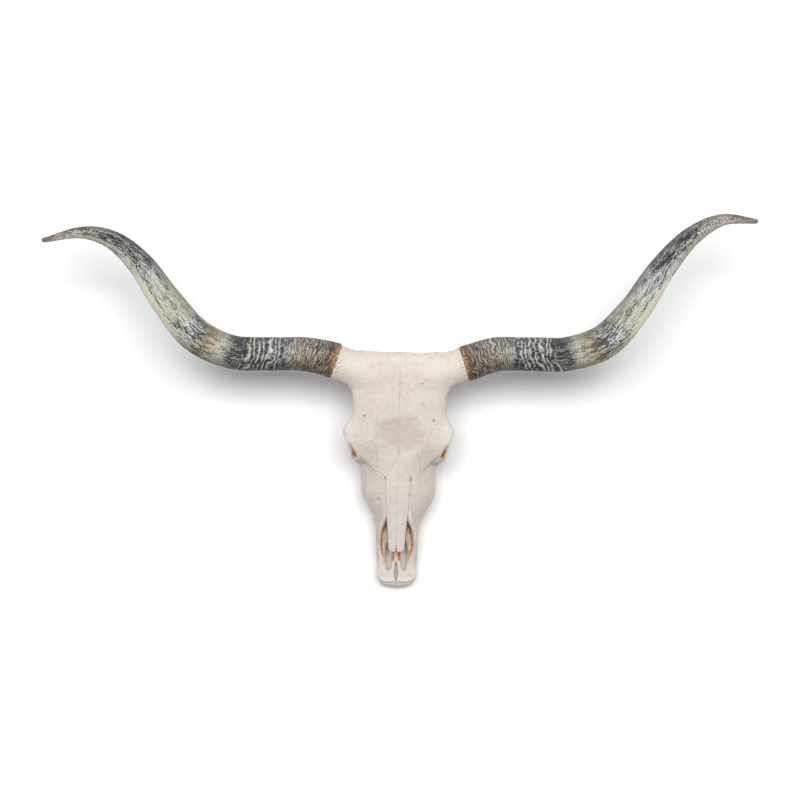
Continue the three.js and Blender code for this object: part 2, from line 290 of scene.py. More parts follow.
headBack = {
    "braincase": [
        [-6, 52, 178, 118, 66],
        [-30, 64, 186, 112, 52],
        [-80, 62, 182, 112, 50],
        [-120, 50, 176, 114, 56],
        [-165, 44, 170, 116, 62],
    ],
    "nuchalPlate": [
        [-8, 58, 180, 112, 74],
        [-15, 82, 188, 110, 62],
        [-36, 85, 184, 108, 56],
        [-54, 74, 166, 106, 60],
    ],
    "skullBase": [
        [-12, 20, 74, 64, 50],
        [-60, 19, 74, 62, 47],
        [-120, 14, 84, 70, 52],
        [-175, 12, 92, 76, 56],
    ],
    "kneeOfNeck": ((25, -12, 62), (15, 14, 19)),  # joint knob beside the spinal opening
    "earCapsule": ((40, -64, 56), (13, 20, 20)),
    "earTube": [[50, -60, 74, 6, 6], [72, -62, 84, 5.5, 6.5]],
    "archRoot": ((66, -52, 90), (20, 16, 26)),
    "jugular": [[60, -30, 84, 14, 14], [59, -29, 44, 8, 12], [54, -28, 14, 6, 9], [52, -28, 3, 5, 8]],
    "pterygoid": [
        [21, -118, 66, 3, 12],
        [23, -140, 56, 3.5, 20],
        [24, -170, 52, 4, 20],
        [30, -196, 52, 6, 20],
    ],
    "crest": [[0, -8, 176, 7, 5], [0, -4, 158, 6, 5], [0, -5, 132, 3, 4], [0, -6, 108, 2, 3]],
    "crestArm": [
        [0, -6, 166, 5, 4],
        [34, -9, 164, 4, 5],
        [62, -13, 150, 4, 6],
        [76, -23, 122, 4, 7],
        [72, -31, 92, 4, 7],
    ],
    "spinalOpening": ((0, -3, 77), (16, 24, 15)),
}
sides = {
    "hornBoss": [[58, -43, 169, 35, 32], [98, -32.5, 173, 35.5, 34], [140, -18.3, 176.4, 35.2, 35.2]],
    "hornCore": [[120, -24, 175.5, 30, 30], [146, -16.5, 176.6, 29, 29]],
    "collarSpace": ((90, -80, 100), (150, 26, 220)),  # box in which the boss is cut off for the horn
    "arch": [
        [67, -276, 70, 8, 8],
        [70, -243, 80, 8, 12],
        [90.5, -215, 86, 9, 13],
        [102, -188, 84, 6.5, 11],
        [96, -145, 84, 5, 10],
        [89, -105, 92, 5, 10],
        [82, -74, 96, 7, 10],
        [66, -56, 92, 13, 13],
    ],
    "cheekRidge": [[73, -240, 74, 4, 7], [73.5, -268, 64, 4, 7], [71, -295, 56, 4, 7], [63, -312, 50, 5, 7]],
    "eyeRing": ((82, -189, 117), (30, 42, 40)),
    "eyeSocket": ((107, -190, 121), (42, 31, 29)),
    "eyeSlit": [[105, -192, 132, 3, 26], [99, -203, 130, 4.2, 32], [93, -214, 124, 3, 24]],
    "eyePost": [[108, -172, 136, 5, 10], [104, -152, 112, 5, 9], [101, -150, 92, 5, 8]],
    "jawHollow": ((79, -112, 122), (22, 38, 28)),
}
noseParts = {
    "cavity": [
        [-296, 12, 96, 82, 70],
        [-332, 15, 100, 80, 58],
        [-352, 20, 108, 76, 48],
        [-366, 30, 112, 70, 42],
        [-412, 33, 110, 62, 35],
    ],
    "palate": [
        [-130, 24, 50, 20, -30],
        [-190, 36, 44, 20, -30],
        [-260, 40, 44, 20, -30],
        [-330, 33, 40, 20, -30],
        [-400, 25, 36, 20, -30],
    ],
    "throat": [[-120, 10, 60, 40, -30], [-150, 15, 76, 44, -30], [-188, 15, 72, 44, -30]],
    "scroll": [
        [21, -296, 82, 4, 12], [21, -330, 78, 4.5, 14], [20, -362, 70, 4, 11], [20, -386, 60, 2.5, 5],
    ],
    "nasalEdge": [
        [27, -292, 119, 5, 8],
        [26, -315, 113, 6, 9],
        [25.5, -330, 108, 6.5, 9],
        [26, -344, 104, 6.5, 9],
        [29.5, -357, 93, 6, 10],
    ],
    "vomer": [[0, -296, 62, 3, 22], [0, -350, 52, 2, 14], [0, -400, 42, 2, 5]],
    "nasals": [
        [-203, 1.4, 167, 164, 150],
        [-219, 4.5, 162.5, 159, 148],
        [-240, 13, 156.3, 151, 140],
        [-264, 26, 148.3, 141, 134],
        [-300, 25.5, 138, 130, 124],
        [-345, 22.5, 122, 115, 111],
        [-385, 18.8, 108, 102, 99],
        [-406, 17.4, 100, 95, 93],
        [-417, 15.8, 96, 92, 91],
        [-422, 13, 94, 91, 90],
    ],
    "tipNotch": [[0, -408, 96, 0.5, 12], [0, -416, 94, 1.2, 12], [0, -432, 92, 4.4, 12]],
    "tipScoop": ((9.5, -425.5, 92), (3, 3.6, 12)),
}
incisive = {
    "plate": [
        [-458, 39, 42, 32, 19],
        [-474, 40.5, 38, 28, 15],
        [-488, 37.5, 35, 26, 14],
        [-496, 28, 31, 25, 17],
        [-500, 14, 28, 24, 19],
    ],
    "nasalProcess": [
        [25.5, -330, 108, 6.5, 9],
        [26, -344, 104, 6.5, 9],
        [29.5, -357, 93, 6, 10.5],
        [34.2, -371, 80, 5.5, 11],
        [37.5, -386, 67, 5.8, 11],
        [38.6, -408, 51, 5.7, 10],
        [36, -426, 43, 6.3, 8.5],
        [33, -441, 38, 8.4, 8],
        [31.5, -454, 34, 9.5, 7.5],
        [30.5, -468, 31, 9.5, 7],
    ],
    "innerWall": [
        [21.5, -345, 97, 4, 7],
        [23, -356, 89, 5.5, 6.5],
        [24.3, -369, 77, 7, 6],
        [25.2, -384, 62, 8.6, 6],
        [25.6, -398, 50, 8.2, 6],
        [27, -408, 43, 6.2, 6],
        [27.8, -418, 39, 5, 6],
        [27, -432, 35, 4, 6],
        [25.5, -446, 32, 3.5, 5],
    ],
    "ridge": [[0, -404, 43, 1.2, 5], [0, -426, 39, 1.2, 5], [0, -446, 34, 1.2, 3]],
    "bar": [[32, -372, 35, 9, 12], [33, -394, 31, 11, 14], [34, -432, 25, 10, 15], [29, -468, 26, 12, 10]],
    "palateProcess": [
        [5.2, -385, 36, 4.6, 11],
        [5.4, -424, 31, 5, 12],
        [6, -446, 29, 5.2, 10],
        [7.2, -470, 27, 4.4, 7],
    ],
    "slit": [[0, -449, 30, 0.9, 30], [0, -458, 30, 2.8, 30], [0, -474, 30, 4.2, 30], [0, -486, 30, 1.2, 30]],
    "holeFront": ((16.8, -449, 30), (7.8, 18, 30)),
    "lipRidge": [[39, -464, 36, 3, 3], [35, -482, 35, 3, 3], [20, -488, 34, 3, 3], [0, -486, 35, 3, 2.5]],
}
# each bone is the space on the near side of its planes x, y, z, reach, taken in this order
regions = {
    "incisive": [[0, 72, -67, -31490]],
    "occipital": [[0, -1, 0, 42], [0, 0, 1, 158], [1, 0, 0, 64]],
    "sphenoid": [[0, 1, 0, -42], [0, -1, 0, 148], [0, 0, 1, 84], [1, 0, 0, 35]],
    "palatine": [[0, 1, 0, -148], [0, -1, 0, 214], [0, 0, 1, 92], [1, 0, 0, 40]],
    "lacrimal": [[-1, 0, 0, -47], [19, 45, 0, -7342], [34, -36, 0, 10694], [0, 0, -1, -100]],
    "frontal": [[17, -26, 0, 7323], [34, -36, 0, 10694], [0, 0.13, -1, -138]],
    "zygomatic": [[-1, 0, 0, -70], [0, -1, 0, 290], [0, 1, 0.5, -92], [0, 0, -1, -58]],
    "temporal": [[0, -1, 0, 150]],
    "maxilla": [],
}
midline = ("occipital", "sphenoid", "palatine")
# mm from bone to bone and past the midline (they overlap, so that no light shows through), and how far
# the sutures wander
seam = {"gap": -0.9, "pastMidline": 0.3, "bite": 0.6}

hornRows = {
    "left": [
        [134, -20.2, 176.2, 37.4],
        [147, -16, 176.8, 37.1],
        [199, 1, 178, 35.5],
        [270, 3, 184, 34.4],
        [348, 5, 200, 35.3],
        [421, 32, 222, 35.6],
        [475, 91, 238, 32.5],
        [537, 187, 249, 26.6],
        [593, 251, 254, 19.6],
        [655, 285, 254, 12.4],
        [728, 284, 250, 4.4],
    ],
    "right": [
        [-134, -20.2, 176.2, 37.4],
        [-147, -16, 176.8, 37.1],
        [-199, -7, 178, 35.5],
        [-272, -8, 184, 33.9],
        [-350, -6, 200, 34.9],
        [-422, 25, 222, 35.6],
        [-486, 98, 238, 31.9],
        [-541, 173, 249, 25.8],
        [-596, 217, 254, 19.4],
        [-655, 231, 254, 12.6],
        [-741, 213, 250, 4.4],
    ],
}


# signed distance past the plane where a horn's base ring meets the bone
def pastCollar(x, y, z):
    start, following = (np.array(row[:3]) for row in hornRows["left"][:2])
    along = (following - start) / np.linalg.norm(following - start)
    return x * along[0] + y * along[1] + z * along[2] - along @ start


def wander(x, y, z):
    slow = np.sin(0.62 * y + 1.4 * np.sin(0.21 * x + 0.17 * z))
    quick = np.sin(1.05 * x - 0.55 * z + 1.2 * np.sin(0.37 * y))
    return seam["bite"] * (slow + 0.6 * quick)


# distance outside a bone's own space, given the wander of its edges
def outside(name, x, y, z, loose):
    planes = regions[name]
    best = -empty
    for a, b, c, reach in planes:
        size = math.sqrt(a * a + b * b + c * c)
        best = np.maximum(best, (a * x + b * y + c * z - reach) / size)
    return best + loose


def boneSpace(name, x, y, z):
    loose = wander(x, y, z)
    space = outside(name, x, y, z, loose) + seam["gap"] / 2
    for earlier in regions:
        if earlier == name:
            break
        space = np.maximum(space, seam["gap"] / 2 - outside(earlier, x, y, z, loose))
    return space


def makeSkullField():
    field = newField()
    upright = {"up": (0, 1, 0)}
    for shape, soft in (
        (body(**forehead, ends=5), 6),
        (body(**face), 12),
        (body(headBack["braincase"]), 10),
        (body(headBack["nuchalPlate"]), 8),
        (body(headBack["skullBase"]), 8),
        (tube(sides["hornBoss"]), 17),
        (ball(*sides["eyeRing"]), 12),
        (tube(sides["arch"]), 7),
        (tube(sides["cheekRidge"]), 10),
        (ball(*headBack["archRoot"]), 9),
        (tube(headBack["jugular"], **upright), 7),
        (tube(headBack["pterygoid"]), 5),
        (tube(headBack["crest"], **upright), 9),
        (tube(headBack["crestArm"], **upright), 8),
        (ball(*headBack["kneeOfNeck"]), 6),
        (ball(*headBack["earCapsule"]), 5),
        (tube(headBack["earTube"]), 5),
        (tube(cheekTeeth["gum"], pieces=4), 7),
    ):
        join(field, shape, soft)
    hull = field.copy()
    for shape, soft in (
        (ball(*headBack["spinalOpening"]), 4),
        (body(noseParts["cavity"], ends=8), 3),
        (body(noseParts["palate"], upper=2.6), 6),
        (body(noseParts["throat"]), 5),
        (ball(*sides["jawHollow"]), 9),
        (ball(*sides["eyeSocket"]), 5),
    ):
        carve(field, shape, soft)
    join(field, tube(sides["eyePost"], **upright), 5)
    carve(field, tube(sides["eyeSlit"]), 3)
    across, spare, height = cheekTeeth["socket"]
    for x, y, length, *_ in toothCentres():
        carve(field, ball((x, y, height - 2), (across, length / 2 + spare, height)), 1.5)
    # the bars of the front bones run on under the face, so that the underside has no step at the suture
    for shape, soft in (
        (tube(noseParts["nasalEdge"]), 6),
        (tube(noseParts["scroll"]), 3),
        (tube(noseParts["vomer"]), 3),
        (tube(incisive["innerWall"]), 3),
        (tube(incisive["bar"]), 5),
        (tube(incisive["palateProcess"]), 3),
    ):
        join(field, shape, soft)
    cut, x, y, z = window(*sides["collarSpace"], 0)
    field[cut] = softHigh(field[cut], pastCollar(x, y, z), 3)
    join(field, tube(sides["hornCore"]), 0.5)
    return field, hull


cheekTeeth = {
    "lengths": [15, 18, 19, 24, 27, 30],  # from front to back
    "front": -331,
    "gap": 1,
    "width": 21,
    "root": 46,
    "xFront": 49,
    "xBack": 57,
    "rise": 10,  # height of the last crown off the ground
    "flat": 2,  # number of teeth that touch the ground
    "narrowed": (2, 0.84),  # the first two are narrower
    "socket": (10.5, 0.6, 22),  # half width, room past the tooth and depth
    "gum": [[49, -335, 34, 9, 12], [54, -250, 36, 12, 16], [57, -188, 44, 11, 18]],
    "step": 0.7,
    "box": ((34, 74), (-336, -188), (-1.4, 50)),  # x, y and z of the left row
    "oneLobe": 20,  # teeth shorter than this have one lobe, the others two
    "roundness": 2.6,  # 2 is an oval section, more is squarer
    "style": (0.95, 1.3),  # rib on the cheek side: place across and radius
    "pit": (0.42, 0.34, 0.75, 5),  # crescent of the worn crown: place, radius, half width and depth
    "cusp": (0.9, 0.6),  # height of the cusps and slope of the crown
}


# x, y, length, half width and height of the crown of each cheek tooth
def toothCentres():
    row = sum(cheekTeeth["lengths"]) + cheekTeeth["gap"] * len(cheekTeeth["lengths"])
    front = cheekTeeth["front"]
    count, slim = cheekTeeth["narrowed"]
    teeth = []
    for i, length in enumerate(cheekTeeth["lengths"]):
        y = front + length / 2
        along = (y - cheekTeeth["front"]) / row
        x = cheekTeeth["xFront"] + (cheekTeeth["xBack"] - cheekTeeth["xFront"]) * along
        half = cheekTeeth["width"] / 2 * (slim if i < count else 1)
        crown = 0 if i < cheekTeeth["flat"] else cheekTeeth["rise"] * along
        teeth.append((x, y, length, half, crown))
        front += length + cheekTeeth["gap"]
    return teeth


def quadsOf(field, low, size):
    volume = openvdb.FloatGrid(background=3.0)
    volume.copyFromArray(np.clip(field / size, -3, 3).astype(np.float32))
    points, quads = volume.convertToQuads(0.0)
    points = points * size + np.array(low)
    quads = quads.astype(np.int64)
    a, b, c, d = (points[quads[:, k]] for k in range(4))
    inward = np.einsum("ij,ij->i", np.cross(c - a, d - b), a).sum() < 0
    return points, quads[:, ::-1] if inward else quads


# drops the crumbs that a cut leaves, which have less than the smallest number of quads
def withoutCrumbs(points, quads, smallest=150):
    label = np.arange(len(points))
    while True:
        lowest = label[quads].min(axis=1)
        following = label.copy()
        for k in range(4):
            np.minimum.at(following, quads[:, k], lowest)
        following = following[following]
        if np.array_equal(following, label):
            break
        label = following
    count = np.bincount(label[quads[:, 0]], minlength=len(points))
    quads = quads[count[label[quads[:, 0]]] >= smallest]
    used = np.unique(quads)
    place = np.zeros(len(points), np.int64)
    place[used] = np.arange(len(used))
    return points[used], place[quads]


def cropped(field, near):
    cut = []
    for axis in range(3):
        used = np.flatnonzero((field < near).any(axis=tuple(k for k in range(3) if k != axis)))
        cut.append(slice(max(used[0] - 3, 0), used[-1] + 4))
    return tuple(cut)


def pointNormals(points, quads):
    a, b, c, d = (points[quads[:, k]] for k in range(4))
    face = np.cross(c - a, d - b)
    out = np.zeros_like(points)
    for k in range(4):
        for axis in range(3):
            out[:, axis] += np.bincount(quads[:, k], face[:, axis], minlength=len(points))
    return out / np.maximum(np.linalg.norm(out, axis=1, keepdims=True), 1e-9)


def sampled(field, points):
    at = [(points[:, k] - axes[k][0]) / step for k in range(3)]
    base = [np.clip(np.floor(v).astype(int), 0, len(axes[k]) - 2) for k, v in enumerate(at)]
    f = [np.clip(v - b, 0, 1) for v, b in zip(at, base)]
    out = 0
    for i, j, k in np.ndindex(2, 2, 2):
        weight = (f[0] if i else 1 - f[0]) * (f[1] if j else 1 - f[1]) * (f[2] if k else 1 - f[2])
        out = out + weight * field[base[0] + i, base[1] + j, base[2] + k]
    return out


# the way out of a field at points of either half
def wayOut(field, points):
    folded = points.copy()
    folded[:, 0] = np.abs(folded[:, 0])
    out = np.empty_like(points)
    for axis in range(3):
        offset = np.zeros(3)
        offset[axis] = 0.8 * step
        ahead, behind = folded + offset, folded - offset
        ahead[:, 0], behind[:, 0] = np.abs(ahead[:, 0]), np.abs(behind[:, 0])
        out[:, axis] = sampled(field, ahead) - sampled(field, behind)
    out[:, 0] *= np.sign(points[:, 0])
    return out / np.maximum(np.linalg.norm(out, axis=1, keepdims=True), 1e-6)


# one object in the frame's metres from millimetre points, with a named value per point for each tint
def makePiece(name, points, faces, tints, material):
    mesh = bpy.data.meshes.new(name)
    places = ((points + toFrame) / 1000).astype(np.float32)
    mesh.vertices.add(len(places))
    mesh.vertices.foreach_set("co", places.ravel())
    corners = faces.shape[1]
    mesh.loops.add(faces.size)
    mesh.loops.foreach_set("vertex_index", faces.ravel().astype(np.int32))
    mesh.polygons.add(len(faces))
    mesh.polygons.foreach_set("loop_start", np.arange(0, faces.size, corners, dtype=np.int32))
    mesh.update(calc_edges=True)
    mesh.validate()
    mesh.shade_smooth()
    for key, values in tints.items():
        kind = "FLOAT_VECTOR" if values.ndim == 2 else "FLOAT"
        layer = mesh.attributes.new(key, kind, "POINT")
        layer.data.foreach_set("vector" if values.ndim == 2 else "value", values.astype(np.float32).ravel())
    piece = bpy.data.objects.new(name, mesh)
    bpy.context.scene.collection.objects.link(piece)
    mesh.materials.append(material)
    return piece


def linear(hexColour):
    parts = [int(hexColour[i : i + 2], 16) / 255 for i in (1, 3, 5)]
    return (*[v / 12.92 if v <= 0.04045 else ((v + 0.055) / 1.055) ** 2.4 for v in parts], 1)


# adds a node with its settings and links, and gives one of its sockets
def addNode(tree, kind, links=None, out=0, stops=None, **settings):
    node = tree.nodes.new(kind)
    for key, value in settings.items():
        setattr(node, key, value)
    if stops:
        ramp = node.color_ramp.elements
        while len(ramp) < len(stops):
            ramp.new(1)
        for element, (at, colour) in zip(ramp, stops):
            element.position = at
            element.color = linear(colour)
    for key, value in (links or {}).items():
        if isinstance(value, bpy.types.NodeSocket):
            tree.links.new(value, node.inputs[key])
        else:
            node.inputs[key].default_value = value
    return node.outputs[out] if node.outputs else None


def newMaterial(name):
    material = bpy.data.materials.new(name)
    material.use_nodes = True
    material.node_tree.nodes.clear()
    return material, material.node_tree


def finishSurface(tree, shader):
    surface = addNode(tree, "ShaderNodeBsdfPrincipled", shader)
    addNode(tree, "ShaderNodeOutputMaterial", {"Surface": surface})


boneLook = {
    "pale": "#d6cdc2",
    "warm": "#d2c7ba",
    "shade": "#bbac9e",
    "cool": "#d3cfcc",
    # painted highlight for the eye rims, the lip beside the horns and scattered patches
    "bright": "#e6e1da",
    "crease": "#8a6545",
    # brown for the hollows, from peach to dark brown as they go deeper: partly stain, partly painted shade
    "stainAndShadeStops": [
        (0.0, "#ecd9c4"), (0.25, "#e6c8a4"), (0.5, "#b8854e"), (0.75, "#875223"), (1.0, "#5a3113"),
    ],
    # patterns: mm across, detail, and how much they are drawn out along the head
    "noise": {
        "cloud": (60, 5.0, 1.0),  # the warmer tint
        "mottle": (11, 5.0, 1.0),  # small grey-brown blots
        "blot": (9, 4.0, 1.0),  # patches in the brown
        "grain": (1.6, 3.0, 0.16),  # drawn coarser than the real 0.3 so that it shows
    },
    "pore": 2.4,  # mm between the pores of the rough bone beside the horns
    "ior": 1.5,
}


# Dry cattle bone, boiled clean and bleached: matt and chalky, ivory where it is thick, brown in the hollows,
# partly stain and partly painted shade that darkens with depth, with a fine grain that runs along the head.
def boneMaterial():
    material, tree = newMaterial("bleachedBone")
    place = addNode(tree, "ShaderNodeTexCoord", out="Object")
    tint = {
        key: addNode(tree, "ShaderNodeAttribute", out="Fac", attribute_name=key)
        for key in ("stainAndShade", "shade", "crease", "rough", "cool", "bright")
    }
    noise = {}
    for key, (size, detail, along) in boneLook["noise"].items():
        drawn = addNode(tree, "ShaderNodeMapping", {"Vector": place, "Scale": (1.0, along, 1.0)})
        settings = {"Vector": drawn, "Scale": 1000 / size, "Detail": detail}
        noise[key] = addNode(tree, "ShaderNodeTexNoise", settings)
    pores = {"Vector": place, "Scale": 1000 / boneLook["pore"]}
    noise["pore"] = addNode(tree, "ShaderNodeTexVoronoi", pores)
    part = {
        key: addNode(tree, "ShaderNodeMapRange", {0: source, 1: start, 2: end, 3: low, 4: high})
        for key, source, start, end, low, high in (
            ("cloud", noise["cloud"], 0.35, 0.68, 0.0, 1.0),
            ("mottle", noise["mottle"], 0.5, 0.72, 0.0, 0.34),
            ("grain", noise["grain"], 0.52, 0.78, 0.0, 0.22),
            ("pore", noise["pore"], 0.38, 0.12, 0.0, 1.0),
            ("blot", noise["blot"], 0.3, 0.7, -0.16, 0.16),
            ("stainAndShade", tint["stainAndShade"], 0.02, 0.2, 0.0, 1.0),
            ("roughness", noise["cloud"], 0.3, 0.7, 0.55, 0.72),
        )
    }
    for key, amount in (("cool", 0.85), ("shade", 0.9), ("bright", 0.9)):
        part[key] = addNode(tree, "ShaderNodeMath", {0: tint[key], 1: amount}, operation="MULTIPLY")
    pores = addNode(tree, "ShaderNodeMath", {0: part["pore"], 1: tint["rough"]}, operation="MULTIPLY")
    creased = addNode(tree, "ShaderNodeMath", {0: pores, 1: tint["crease"]}, operation="MAXIMUM")
    part["crease"] = addNode(tree, "ShaderNodeMath", {0: creased, 1: 0.75}, operation="MULTIPLY")
    colour = linear(boneLook["pale"])
    for key, over in (
        ("cloud", "warm"),
        ("cool", "cool"),
        ("shade", "shade"),
        ("bright", "bright"),
        ("mottle", "shade"),
        ("grain", "shade"),
        ("crease", "crease"),
    ):
        mix = {0: part[key], 6: colour, 7: linear(boneLook[over])}
        colour = addNode(tree, "ShaderNodeMix", mix, out=2, data_type="RGBA")
    # brown of the hollows, partly stain and partly painted shade that darkens with depth
    stainAndShade = addNode(tree, "ShaderNodeMath", {0: tint["stainAndShade"], 1: part["blot"]}, use_clamp=True)
    brown = addNode(tree, "ShaderNodeValToRGB", {"Fac": stainAndShade}, stops=boneLook["stainAndShadeStops"])
    colour = addNode(tree, "ShaderNodeMix", {0: part["stainAndShade"], 6: colour, 7: brown}, out=2, data_type="RGBA")
    height = addNode(tree, "ShaderNodeMath", {0: noise["grain"], 1: pores}, operation="SUBTRACT")
    bump = addNode(tree, "ShaderNodeBump", {"Height": height, "Strength": 0.35, "Distance": 0.0005})
    finishSurface(
        tree,
        {
            "Base Color": colour,
            "Roughness": part["roughness"],
            "Normal": bump,
            "IOR": boneLook["ior"],
            "Metallic": 0.0,
        },
    )
    return material


toothLook = {
    "enamel": "#e4dac6",
    "cement": "#b89a72",
    "worn": "#7d5a36",
    "streak": 1.8,  # mm across the upright streaks
    "ior": 1.62,
    "roughness": 0.36,
}


# Cheek-tooth enamel with old tartar: ivory and fairly glossy on the ridges, brown in the grooves.
def toothMaterial():
    material, tree = newMaterial("toothEnamel")
    place = addNode(tree, "ShaderNodeTexCoord", out="Object")
    groove = addNode(tree, "ShaderNodeAttribute", out="Fac", attribute_name="groove")
    upright = addNode(tree, "ShaderNodeMapping", {"Vector": place, "Scale": (1.0, 1.0, 0.2)})
    settings = {"Vector": upright, "Scale": 1000 / toothLook["streak"], "Detail": 4.0}
    streak = addNode(tree, "ShaderNodeTexNoise", settings)
    streaked = addNode(tree, "ShaderNodeMapRange", {0: streak, 1: 0.4, 2: 0.75, 3: 0.0, 4: 0.6})
    colour = linear(toothLook["enamel"])
    for share, over in ((streaked, "cement"), (groove, "worn")):
        mix = {0: share, 6: colour, 7: linear(toothLook[over])}
        colour = addNode(tree, "ShaderNodeMix", mix, out=2, data_type="RGBA")
    bump = addNode(tree, "ShaderNodeBump", {"Height": streak, "Strength": 0.25, "Distance": 0.0004})
    finishSurface(
        tree,
        {
            "Base Color": colour,
            "Normal": bump,
            "IOR": toothLook["ior"],
            "Metallic": 0.0,
            "Roughness": toothLook["roughness"],
        },
    )
    return material


relief = {
    # hollow between the eyes: x, y, half width, half length, depth
    "browHollow": (-2, -174, 58, 44, 4.6),
    # shallow hollow in front of each eye socket
    "tearHollow": (70, -222, 24, 22, 1.8),
    # small holes and dents: x, y, half width, half length, depth, how brown
    "pits": [
        (-73, -134, 2.3, 3.0, 3.6, 0.8),
        (-75, -146, 2.2, 2.6, 1.6, 0.4),
        (73, -141, 2.6, 3.2, 3.8, 0.9),
        (77, -149, 2.2, 2.4, 1.6, 0.4),
        (-27, -266, 2.4, 4.2, 4.2, 0.75),
        (27, -266, 2.6, 5.0, 4.6, 1.0),
        (-41, -312, 3.4, 4.6, 4.6, 0.45),
        (-53, -315, 2.4, 3.4, 2.2, 0.25),
        (27, -301, 2.4, 3.6, 2.6, 0.5),
        (48, -64, 3.0, 2.4, 2.0, 0.55),
        (56, -58, 3.6, 3.0, 1.2, 0.3),
        (66, -64, 1.8, 1.6, 1.0, 0.35),
        (6, -63, 1.5, 1.5, 1.6, 0.6),
        (1.5, -91, 1.4, 2.4, 1.6, 0.5),
        (-94, -222, 3.2, 3.6, 3.4, 0.7),
        (-90, -212, 2.4, 2.8, 2.4, 0.6),
        (93, -221, 3.0, 4.0, 2.8, 0.6),
    ],
    # grooves: half width, depth, how brown, then the places they run through
    "grooves": [
        (1.5, 1.0, 0.35, [(-74, -136), (-79, -150), (-77, -168), (-78, -178)]),
        (1.5, 1.0, 0.4, [(-72, -140), (-69, -152), (-64, -170), (-58, -180)]),
        (1.7, 1.2, 0.4, [(74, -142), (74, -152), (67, -176), (57, -196), (51, -212), (47, -221)]),
        (1.4, 0.7, 0.25, [(77, -146), (84, -154), (83, -170)]),
        (1.6, 1.3, 0.6, [(37, -200), (42, -213), (46, -230), (47, -244)]),
        (1.8, 1.1, 0.45, [(-59, -186), (-50, -197), (-45, -219), (-45, -244)]),
        (1.7, 1.5, 0.65, [(-98, -208), (-89, -215), (-68, -234), (-54, -247), (-38, -253), (-28, -262)]),
        (1.7, 1.4, 0.6, [(98, -207), (89, -214), (70, -231), (58, -243), (46, -250)]),
        (1.3, 0.9, 0.5, [(-46, -294), (-41, -299), (-35, -297), (-25, -302)]),
        (1.5, 0.8, 0.35, [(47, -277), (55, -267), (69, -261)]),
        (1.2, 0.5, 0.2, [(-63, -258), (-52, -262), (-40, -274)]),
        (1.1, 0.4, 0.2, [(30, -276), (33, -290), (31, -306)]),
    ],
    # lines and pits are drawn through a warped plan, so that none is a clean curve: mm across, mm pushed
    "warp": [(13, 1.5), (5, 0.7)],
    "swells": [(34, 0.55), (12, 0.22), (4, 0.09)],  # low swells and fine wear: mm across and height
    # vein prints and hair cracks: mm across, thinness, then mm across and limits of the patches with them
    "veins": [(15, 0.05, 26, 0.0, 0.35), (7, 0.06, 19, 0.15, 0.5)],
    "veinDepth": 0.32,
    # pores beside the horns and tiny ones elsewhere: mm apart, reach in cells and depth
    "pores": (4.4, 0.42, 1.6),
    "tinyPores": (7.5, 0.2, 0.35),
    "midlineSuture": (0.9, 0.8),  # half width and depth
    # how strongly it shows along y
    "midlineStrength": [
        (-420, 0.4), (-300, 0.42), (-205, 0.25), (-190, 0.16), (-126, 0.2), (-112, 0.75), (-52, 0.7),
        (-45, 0.25), (0, 0.1),
    ],
    "collarRough": 26,  # mm of rough bone beside each horn
    # how far the sides of the face lean to the animal's left along y
    "lean": [
        (-475, 2.0), (-440, 1.5), (-400, 0.7), (-366, 0.4), (-350, 1.8), (-337, 3.3), (-319, 2.9),
        (-299, 2.0), (-246, 0.0),
    ],
}


